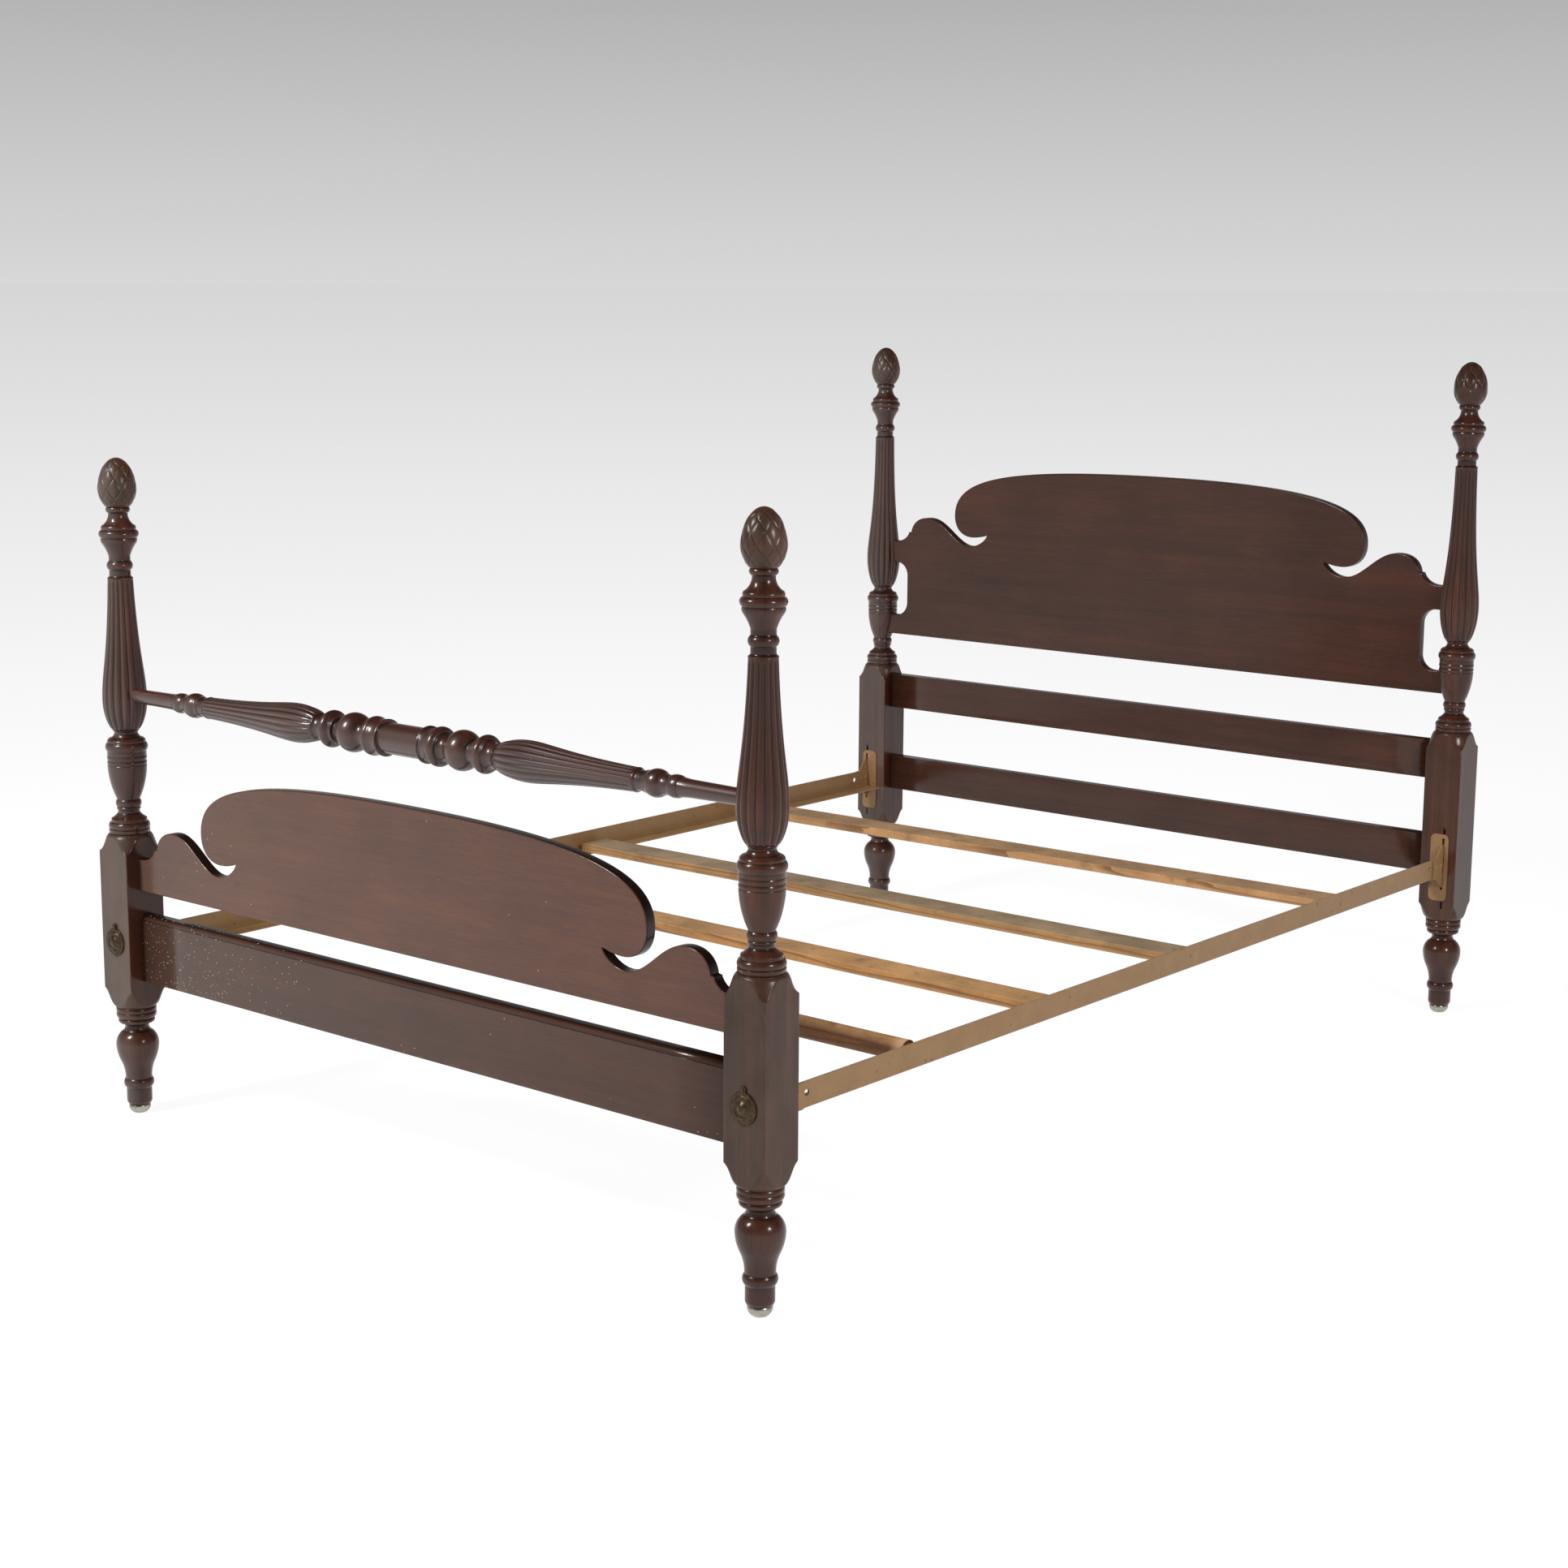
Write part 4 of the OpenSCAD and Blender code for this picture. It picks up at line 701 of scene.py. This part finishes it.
def lacquered_mahogany(name, grain, stain, coat, rough, painted_haze, satin=0.0, fade_and_haze=None, edges=0.0, chips=0.0):
    """Stained mahogany under nitrocellulose lacquer: long interlocked grain along one axis, fine open
    pores, and a clear coat of the given weight and roughness. stain is its dark, usual and red tone.
    satin is the strength of the broad sheen of waxed wood under the coat, and the number after the coat's
    roughness that of a pale sheen painted on the faces towards the foot, a painted reflection. The faded
    tone is added where the attribute of wear and haze is 1 and the polish has dulled, partly real fading and
    partly a painted haze; the blocks' faces towards the other post get none and stay darker as painted
    shade. edges is how far the sawn edges, whose faces look neither to the foot nor to the head, are
    darkened, and chips is the share of small chips by the left post."""
    made, tree = new_material(name)
    at = node(tree, "TexCoord").outputs["Object"]
    # the pattern is drawn 18 times longer along the grain than across it
    stretch = [1 / 18 if axis == grain else 1 for axis in range(3)]
    long = node(tree, "Mapping", {"Vector": at, "Scale": stretch})
    # pores 0.4 mm wide, drawn at 0.8 mm so that they show
    pores = node(tree, "TexNoise", {"Vector": long, "Scale": 1250, "Detail": 1, "Roughness": .5})
    wood, tone = mahogany_grain(tree, at, long, pores, stain)
    stain_and_shade, dull, left_on = .88, rough, coat
    # the faded tone is partly a painted haze, and the blocks' faces towards the other post, left without it,
    # are painted shade
    if fade_and_haze:
        wear_and_haze = node(tree, "Attribute", attribute_name="wear_and_haze").outputs["Fac"]
        wood = faded_hazed_wood(tree, at, wood, wear_and_haze, fade_and_haze)
        stain_and_shade = node(tree, "MapRange", {"Value": wear_and_haze, "To Min": .88, "To Max": .4})
        dull = node(tree, "MapRange", {"Value": wear_and_haze, "To Min": rough, "To Max": rough + .12})
        left_on = node(tree, "MapRange", {"Value": wear_and_haze, "To Min": coat, "To Max": coat * .85})
    wood = node(tree, "VectorMath", {0: wood, "Scale": tone}, operation="SCALE")
    # settled stain and painted shade in the hollows, and rubbed arrises
    wood = shaded_and_rubbed_wood(tree, at, wood, stain_and_shade)
    facing = node(tree, "Attribute", attribute_name="facing").outputs["Vector"]
    front = node(tree, "SeparateXYZ", {0: facing}).outputs[1]
    place = node(tree, "SeparateXYZ", {0: at}).outputs
    # a pale sheen painted on the faces towards the foot, as a painted reflection
    if painted_haze:
        wood = painted_haze_wood(tree, wood, front, place[0], painted_haze)
    if edges:
        # the sawn edges, whose faces look neither to the foot nor to the head, darkened by the share given
        out = node(tree, "Math", {0: front}, operation="ABSOLUTE")
        wood = tinted(tree, wood, "#120805", out, between=(.75, .25), most=edges)
    if chips:
        wood = chipped_wood(tree, at, wood, place, chips)
    # orange peel of the brushed lacquer, about 3 mm across, on swells of some 17 mm
    peel = node(tree, "TexNoise", {"Vector": at, "Scale": 320, "Detail": 2})
    swell = node(tree, "TexNoise", {"Vector": long, "Scale": 60, "Detail": 2})
    fine = node(tree, "Bump", {"Height": pores, "Strength": .12, "Distance": .0002})
    skin = node(tree, "Bump", {"Height": peel, "Strength": .12, "Distance": .0004})
    skin = node(tree, "Bump", {"Height": swell, "Strength": .15, "Distance": .0012,
                               "Normal": skin})
    shader = node(tree, "BsdfPrincipled", {"Base Color": wood, "Roughness": .42, "Coat Weight": left_on,
                                           "Coat Roughness": dull, "Specular IOR Level": satin,
                                           "Normal": fine, "Coat Normal": skin})
    node(tree, "OutputMaterial", {"Surface": shader})
    return made


def enamelled_steel():
    """Khaki stoving enamel on hot-rolled angle: satin, a little mottled, with brown rust freckles."""
    made, tree = new_material("khaki_stoving_enamel")
    at = node(tree, "TexCoord").outputs["Object"]
    # mottling of about 40 mm
    cloud = node(tree, "TexNoise", {"Vector": at, "Scale": 26, "Detail": 5, "Roughness": .6})
    paint = node(tree, "ValToRGB", {"Fac": cloud},
                 [(.25, "#8c6b46"), (.5, "#93714b"), (.75, "#997852")])
    # rust freckles, most of them under 5 mm across
    freckle = node(tree, "TexVoronoi", {"Vector": at, "Scale": 70, "Randomness": 1.0})
    pick = node(tree, "SeparateColor", {0: freckle.outputs["Color"]}).outputs
    size = node(tree, "MapRange", {"Value": pick[1], "From Min": .78, "From Max": 1.0,
                                   "To Max": .28})
    spot = node(tree, "Math", {0: freckle.outputs["Distance"], 1: size}, operation="LESS_THAN")
    spot = node(tree, "Math", {0: spot, 1: .5}, operation="MULTIPLY")
    paint = node(tree, "Mix", {"Factor": spot, 6: paint, 7: colour("#5d4029")}, data_type="RGBA").outputs[2]
    # grit in the enamel, about 1.4 mm
    grit = node(tree, "TexNoise", {"Vector": at, "Scale": 700, "Detail": 2})
    skin = node(tree, "Bump", {"Height": grit, "Strength": .2, "Distance": .0003})
    shader = node(tree, "BsdfPrincipled", {"Base Color": paint, "Roughness": .42, "Metallic": .1,
                                           "Specular IOR Level": .35, "Normal": skin})
    node(tree, "OutputMaterial", {"Surface": shader})
    return made


def growth_rings(tree, at, knot, face, summer):
    """Rings about a pith below the slat, dark where the late wood is, bent by slow noise and round the
    knots."""
    bend = node(tree, "Mapping", {"Vector": at, "Scale": [1 / 14, 1, 1]})
    warp = node(tree, "TexNoise", {"Vector": bend, "Scale": 22, "Detail": 2, "Roughness": .5})
    shift = node(tree, "VectorMath", {0: warp.outputs["Color"], "Scale": .03}, operation="SCALE")
    pith = node(tree, "VectorMath", {0: at, 1: shift}, operation="ADD")
    pull = node(tree, "MapRange", {"Value": knot, "From Max": .16,
                                   "To Min": .014, "To Max": 0.0})
    pull = node(tree, "CombineXYZ", {"Y": pull, "Z": pull})
    pith = node(tree, "VectorMath", {0: pith, 1: pull}, operation="ADD")
    pith = node(tree, "Mapping", {"Vector": pith, "Location": [0, -.02, -.215], "Scale": [.03, 1, 1]})
    # one wave of the ring texture at scale 45 is 7 mm
    wave = node(tree, "TexWave", {"Vector": pith, "Scale": 45, "Distortion": 1.2, "Detail": 2,
                                  "Detail Scale": 2.0},
                wave_type="RINGS", rings_direction="X", wave_profile="SAW")
    return node(tree, "ValToRGB", {"Fac": wave.outputs["Fac"]},
                [(.0, face), (.62, face), (.9, summer), (1, summer)])


def planed_pine(name, face, summer, knot_at, dust_and_top_light="#8f7f68", dust_and_light_share=0.0):
    """Bare planed softwood: growth rings, dark latewood lines, fuzzy fibres, knots where the saw met
    branches, and an upper side tinted by a share towards a colour: grey dust on the slats, and a painted
    light that makes the round pole's top lighter."""
    made, tree = new_material(name)
    at = node(tree, "TexCoord").outputs["Object"]
    # one knot in each 0.31 by 0.2 m
    spread = node(tree, "Mapping", {"Vector": at, "Location": knot_at, "Scale": [3.2, 5, .01]})
    knot = node(tree, "TexVoronoi", {"Vector": spread, "Scale": 1.0, "Randomness": .8}).outputs["Distance"]
    wood = growth_rings(tree, at, knot, face, summer)
    if dust_and_light_share:
        # the upper side: dust on the slats, a painted light on the round pole's top
        facing = node(tree, "Attribute", attribute_name="facing").outputs["Vector"]
        up = node(tree, "SeparateXYZ", {0: facing}).outputs[2]
        wood = tinted(tree, wood, dust_and_top_light, up, between=(.4, .9), most=dust_and_light_share)
    # fibres about 1 mm wide and 30 mm long, and grime in clouds of some 110 mm
    long = node(tree, "Mapping", {"Vector": at, "Scale": [1 / 30, 1, 1]})
    fibre = node(tree, "TexNoise", {"Vector": long, "Scale": 900, "Detail": 3, "Roughness": .65})
    tone = node(tree, "MapRange", {"Value": fibre, "From Min": .3, "From Max": .7,
                                   "To Min": .82, "To Max": 1.14})
    dirt = clouds(tree, at, scale=9, detail=5, rough=.6, between=(.38, .68), gives=(.72, 1.1))
    tone = node(tree, "Math", {0: tone, 1: dirt}, operation="MULTIPLY")
    wood = node(tree, "VectorMath", {0: wood, "Scale": tone}, operation="SCALE")
    # bruises and finger marks of 10 to 30 mm
    bruise = node(tree, "TexNoise", {"Vector": at, "Scale": 34, "Detail": 5, "Roughness": .6})
    wood = tinted(tree, wood, "#6f4e31", bruise, between=(.56, .7), most=.55)
    # paler wood where the arrises are knocked off, which is also a painted highlight along them
    curve = node(tree, "Attribute", attribute_name="hollow").outputs["Fac"]
    wood = tinted(tree, wood, "#dcbb90", curve, between=(-.12, -.5), most=.45)
    # knot hearts about 15 mm across
    wood = tinted(tree, wood, "#4a2a17", knot, between=(.045, .028), most=.9)
    rough = node(tree, "Bump", {"Height": fibre, "Strength": .35, "Distance": .0005})
    shader = node(tree, "BsdfPrincipled", {"Base Color": wood, "Roughness": .62, "Specular IOR Level": .35,
                                           "Normal": rough})
    node(tree, "OutputMaterial", {"Surface": shader})
    return made


def plated_metal(name, bright, dull, rough):
    """Plated or stamped metal, darkened and dulled by age in clouds of 6 mm, with pits drawn at 0.7 mm so
    that they show."""
    made, tree = new_material(name)
    at = node(tree, "TexCoord").outputs["Object"]
    cloud = node(tree, "TexNoise", {"Vector": at, "Scale": 160, "Detail": 5, "Roughness": .65})
    metal = node(tree, "ValToRGB", {"Fac": cloud}, [(.3, dull), (.68, bright)])
    wear = node(tree, "MapRange", {"Value": cloud, "From Min": .35, "From Max": .65,
                                   "To Min": rough + .2, "To Max": rough})
    pits = node(tree, "TexNoise", {"Vector": at, "Scale": 1400, "Detail": 2})
    skin = node(tree, "Bump", {"Height": pits, "Strength": .2, "Distance": .0002})
    shader = node(tree, "BsdfPrincipled", {"Base Color": metal, "Metallic": 1.0, "Roughness": wear,
                                           "Normal": skin})
    node(tree, "OutputMaterial", {"Surface": shader})
    return made


def set_material(made, *names):
    """Gives CAD nodes their finish."""
    for name in names:
        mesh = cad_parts[name].data
        mesh.materials.clear()
        mesh.materials.append(made)


# ---- the bed ----
post_wood = lacquered_mahogany("lacquered_mahogany_turned", 2, ["#2e160d", "#3e2014", "#50291b"],
                               .6, .17, .2, satin=.1, fade_and_haze="#22221a")
bar_wood = lacquered_mahogany("lacquered_mahogany_blanket_rail", 0, ["#301409", "#3c1a0f", "#4c2416"],
                              .75, .16, .2, satin=.35)
head_wood = lacquered_mahogany("lacquered_mahogany_head", 0, ["#3b221a", "#42271d", "#4a291d"],
                               .7, .2, 0, edges=.45)
crest_wood = lacquered_mahogany("lacquered_mahogany_foot_board", 0, ["#553428", "#5a3728", "#613a28"],
                                .8, .22, .16, edges=.9, chips=.05)
rail_wood = lacquered_mahogany("lacquered_mahogany_foot_rail", 0, ["#40241a", "#45281b", "#4c2b1c"],
                               .8, .22, .16, edges=.9, chips=.85)

for end in ENDS:
    for side in SIDES:
        post(end, side, post_wood)
        finial(end, side, post_wood)
blanket_rail(bar_wood)
board("scrolled_foot_board", "foot_board", foot_half(), crest_wood)
board("scrolled_headboard", "head_board", head_half(), head_wood)
rail("moulded_foot_rail", "foot_rail", moulded_section("foot_rail"), SPAN + INTO_POST,
     rail_wood)
for part in ("upper", "lower"):
    rail(f"headboard_{part}_rail", f"head_{part}_rail", plain_section(f"head_{part}_rail"), SPAN + INTO_POST,
         head_wood)
for k, (name, (width, skew, face, dust_and_top_light)) in enumerate(SLATS.items()):
    pine = planed_pine(f"planed_pine_{k}", face, "#8a5c36", [.3 * k, .11 * k, 0], dust_and_top_light, .75)
    rail(f"planed_{name}", name, plain_section(name, width), SLAT_END, pine, name, .5, skew, k)
# the pole's upper side is painted lighter, a painted light on its top
round_pole(planed_pine("darkened_pole", "#84552f", "#6c4226", [.2, .4, 0], "#bd8c5c", .85))

corners = [(end, side) for end in ENDS for side in SIDES]
set_material(enamelled_steel(), "side_rail_left", "side_rail_right", "plate_screws", "hook_rivets",
             *[f"{end}_{part}_{side}" for end, side in corners for part in ("hook", "slot_plate")])
set_material(plated_metal("zinc_plate", "#8a8882", "#5c5a55", .4), "hook_pins")
set_material(plated_metal("nickel_plate", "#b3aea4", "#958f84", .2),
             *[f"{end}_glide_{side}" for end, side in corners])
set_material(plated_metal("antique_brass", "#594a39", "#3d3126", .34),
             *[f"{part}_{side}" for part in ("bolt_cover", "cover_pin") for side in SIDES])
set_material(planed_pine("dowel_birch", "#c4a074", "#a98458", [.2, .4, 0]), "finial_dowels")


# ---- floor, light and camera, in metres ----
FADE_HEIGHT, FADE_BACK = 1.38, 4.64              # the camera's height, and its distance from the bed's middle
FLOOR_R = 900
AIM_Z = .5                                       # height that the lamps point at
CAMERA = [2.894, -3.62895, 1.3824]
CAMERA_AZIMUTH, CAMERA_ELEVATION, CAMERA_ROLL = 40.065, 10.173, .322


def seen(tree):
    """1 for what the camera, a mirror or a glass sees, 0 for light that spreads."""
    path = node(tree, "LightPath").outputs
    some = node(tree, "Math", {0: path["Is Camera Ray"], 1: path["Is Glossy Ray"]}, operation="MAXIMUM")
    return node(tree, "Math", {0: some, 1: path["Is Transmission Ray"]}, operation="MAXIMUM")


def floor_paint():
    """Pale paint. What sees it directly gets its own light on top, which fades with the distance r from
    the bed's middle by FADE_HEIGHT / (FADE_BACK + r), the slope at which the far floor is seen. Lamp
    light falls on the rest of its colour, and so the shadows show."""
    made, tree = new_material("painted_studio_floor")
    at = node(tree, "TexCoord").outputs["Object"]
    far = node(tree, "VectorMath", {0: at}, operation="LENGTH").outputs["Value"]
    far = node(tree, "Math", {0: far, 1: FADE_BACK}, operation="ADD")
    dip = node(tree, "Math", {0: FADE_HEIGHT, 1: far}, operation="DIVIDE")
    shade = node(tree, "ValToRGB", {"Fac": dip},
                 [(0, "#d7d7d7"), (.045, "#e3e3e3"), (.075, "#ebebeb"), (.106, "#f1f1f1"), (.137, "#f7f7f7"),
                  (.2, "#fefefe"), (.23, "#ffffff")])
    light = node(tree, "Emission", {"Color": shade, "Strength": .86})
    rest = node(tree, "VectorMath", {0: shade, "Scale": .21}, operation="SCALE")
    matt = node(tree, "BsdfDiffuse", {"Color": rest})
    both = node(tree, "AddShader", {0: light, 1: matt})
    plain = node(tree, "BsdfDiffuse", {"Color": colour("#d0d0d0")})
    mix = node(tree, "MixShader", {0: seen(tree), 1: plain, 2: both})
    node(tree, "OutputMaterial", {"Surface": mix})
    return made


def studio_floor():
    """A flat disc just under the glides, in rings that widen outwards."""
    radius = np.r_[.02, np.geomspace(.5, FLOOR_R * 1000, 48)][:, None]
    grid = rings(radius, round_angles(96), -.4 + 0 * radius)
    mesh = mesh_of("floor", [(grid.reshape(-1, 3), ring_quads(*grid.shape[:2]))])
    mesh.materials.append(floor_paint())
    placed("floor", mesh)


def studio_world():
    """Grey gradient above the horizon where it is seen, and a plain soft light elsewhere."""
    world = bpy.data.worlds.new("studio")
    bpy.context.scene.world = world
    world.use_nodes = True
    tree = world.node_tree
    tree.nodes.clear()
    up = node(tree, "SeparateXYZ", {0: node(tree, "TexCoord").outputs["Generated"]}).outputs[2]
    # sine of the elevation: horizon, 2.5, 5 and 6 degrees as photographed, then down to a dim ceiling
    shade = node(tree, "ValToRGB", {"Fac": up},
                 [(0, "#d7d7d7"), (.044, "#c9c9c9"), (.084, "#bababa"), (.1, "#b3b3b3"), (.3, "#9a9a9a"),
                  (.45, "#4a4a4a"), (.65, "#2c2c2c")])
    back = node(tree, "Background", {"Color": shade, "Strength": 1.0})
    soft = node(tree, "Background", {"Color": colour("#ffffff"), "Strength": .57})
    mix = node(tree, "MixShader", {0: seen(tree), 1: soft, 2: back})
    node(tree, "OutputWorld", {"Surface": mix})


def looking(azimuth, elevation, roll=0.0):
    """Right, up and backward directions of something that looks at the bed from an azimuth and elevation in
    degrees, rolled about its own view."""
    a, e, r = math.radians(azimuth), math.radians(elevation), math.radians(roll)
    back = np.array([math.sin(a) * math.cos(e), -math.cos(a) * math.cos(e), math.sin(e)])
    right = np.array([math.cos(a), math.sin(a), 0])
    up = np.cross(back, right)
    return math.cos(r) * right + math.sin(r) * up, math.cos(r) * up - math.sin(r) * right, back


def set_place(made, directions, place):
    """Turns an object so that its axes lie along three directions, and puts it at a place."""
    columns = np.eye(4)
    columns[:3] = np.stack([*directions, place], 1)
    made.matrix_world = Matrix(columns)


def softbox(name, azimuth, elevation, distance, width, height, watts):
    """A rectangular lamp at an azimuth, elevation and distance from the bed's middle, turned to face it."""
    lamp = bpy.data.lights.new(name, "AREA")
    lamp.shape, lamp.size, lamp.size_y, lamp.energy = "RECTANGLE", width, height, watts
    directions = looking(azimuth, elevation)
    set_place(placed(name, lamp), directions, directions[2] * distance + [0, 0, AIM_Z])


def studio_camera():
    """The photograph's camera, whose place, angles, lens and shift were solved from the four posts."""
    data = bpy.data.cameras.new("camera")
    data.lens, data.sensor_width, data.sensor_fit = 60.78, 36.0, "HORIZONTAL"
    data.shift_x, data.shift_y = .01022, -.01553
    data.clip_start, data.clip_end = .05, 2000
    made = placed("camera", data)
    set_place(made, looking(CAMERA_AZIMUTH, CAMERA_ELEVATION, CAMERA_ROLL), CAMERA)
    bpy.context.scene.camera = made


studio_floor()
studio_world()
softbox("softbox_left", -19, 36, 4.6, .65, 1.1, 118)
softbox("softbox_right", 75, 23, 4.6, .5, .8, 64)
studio_camera()
bpy.context.scene.view_settings.view_transform = "Standard"
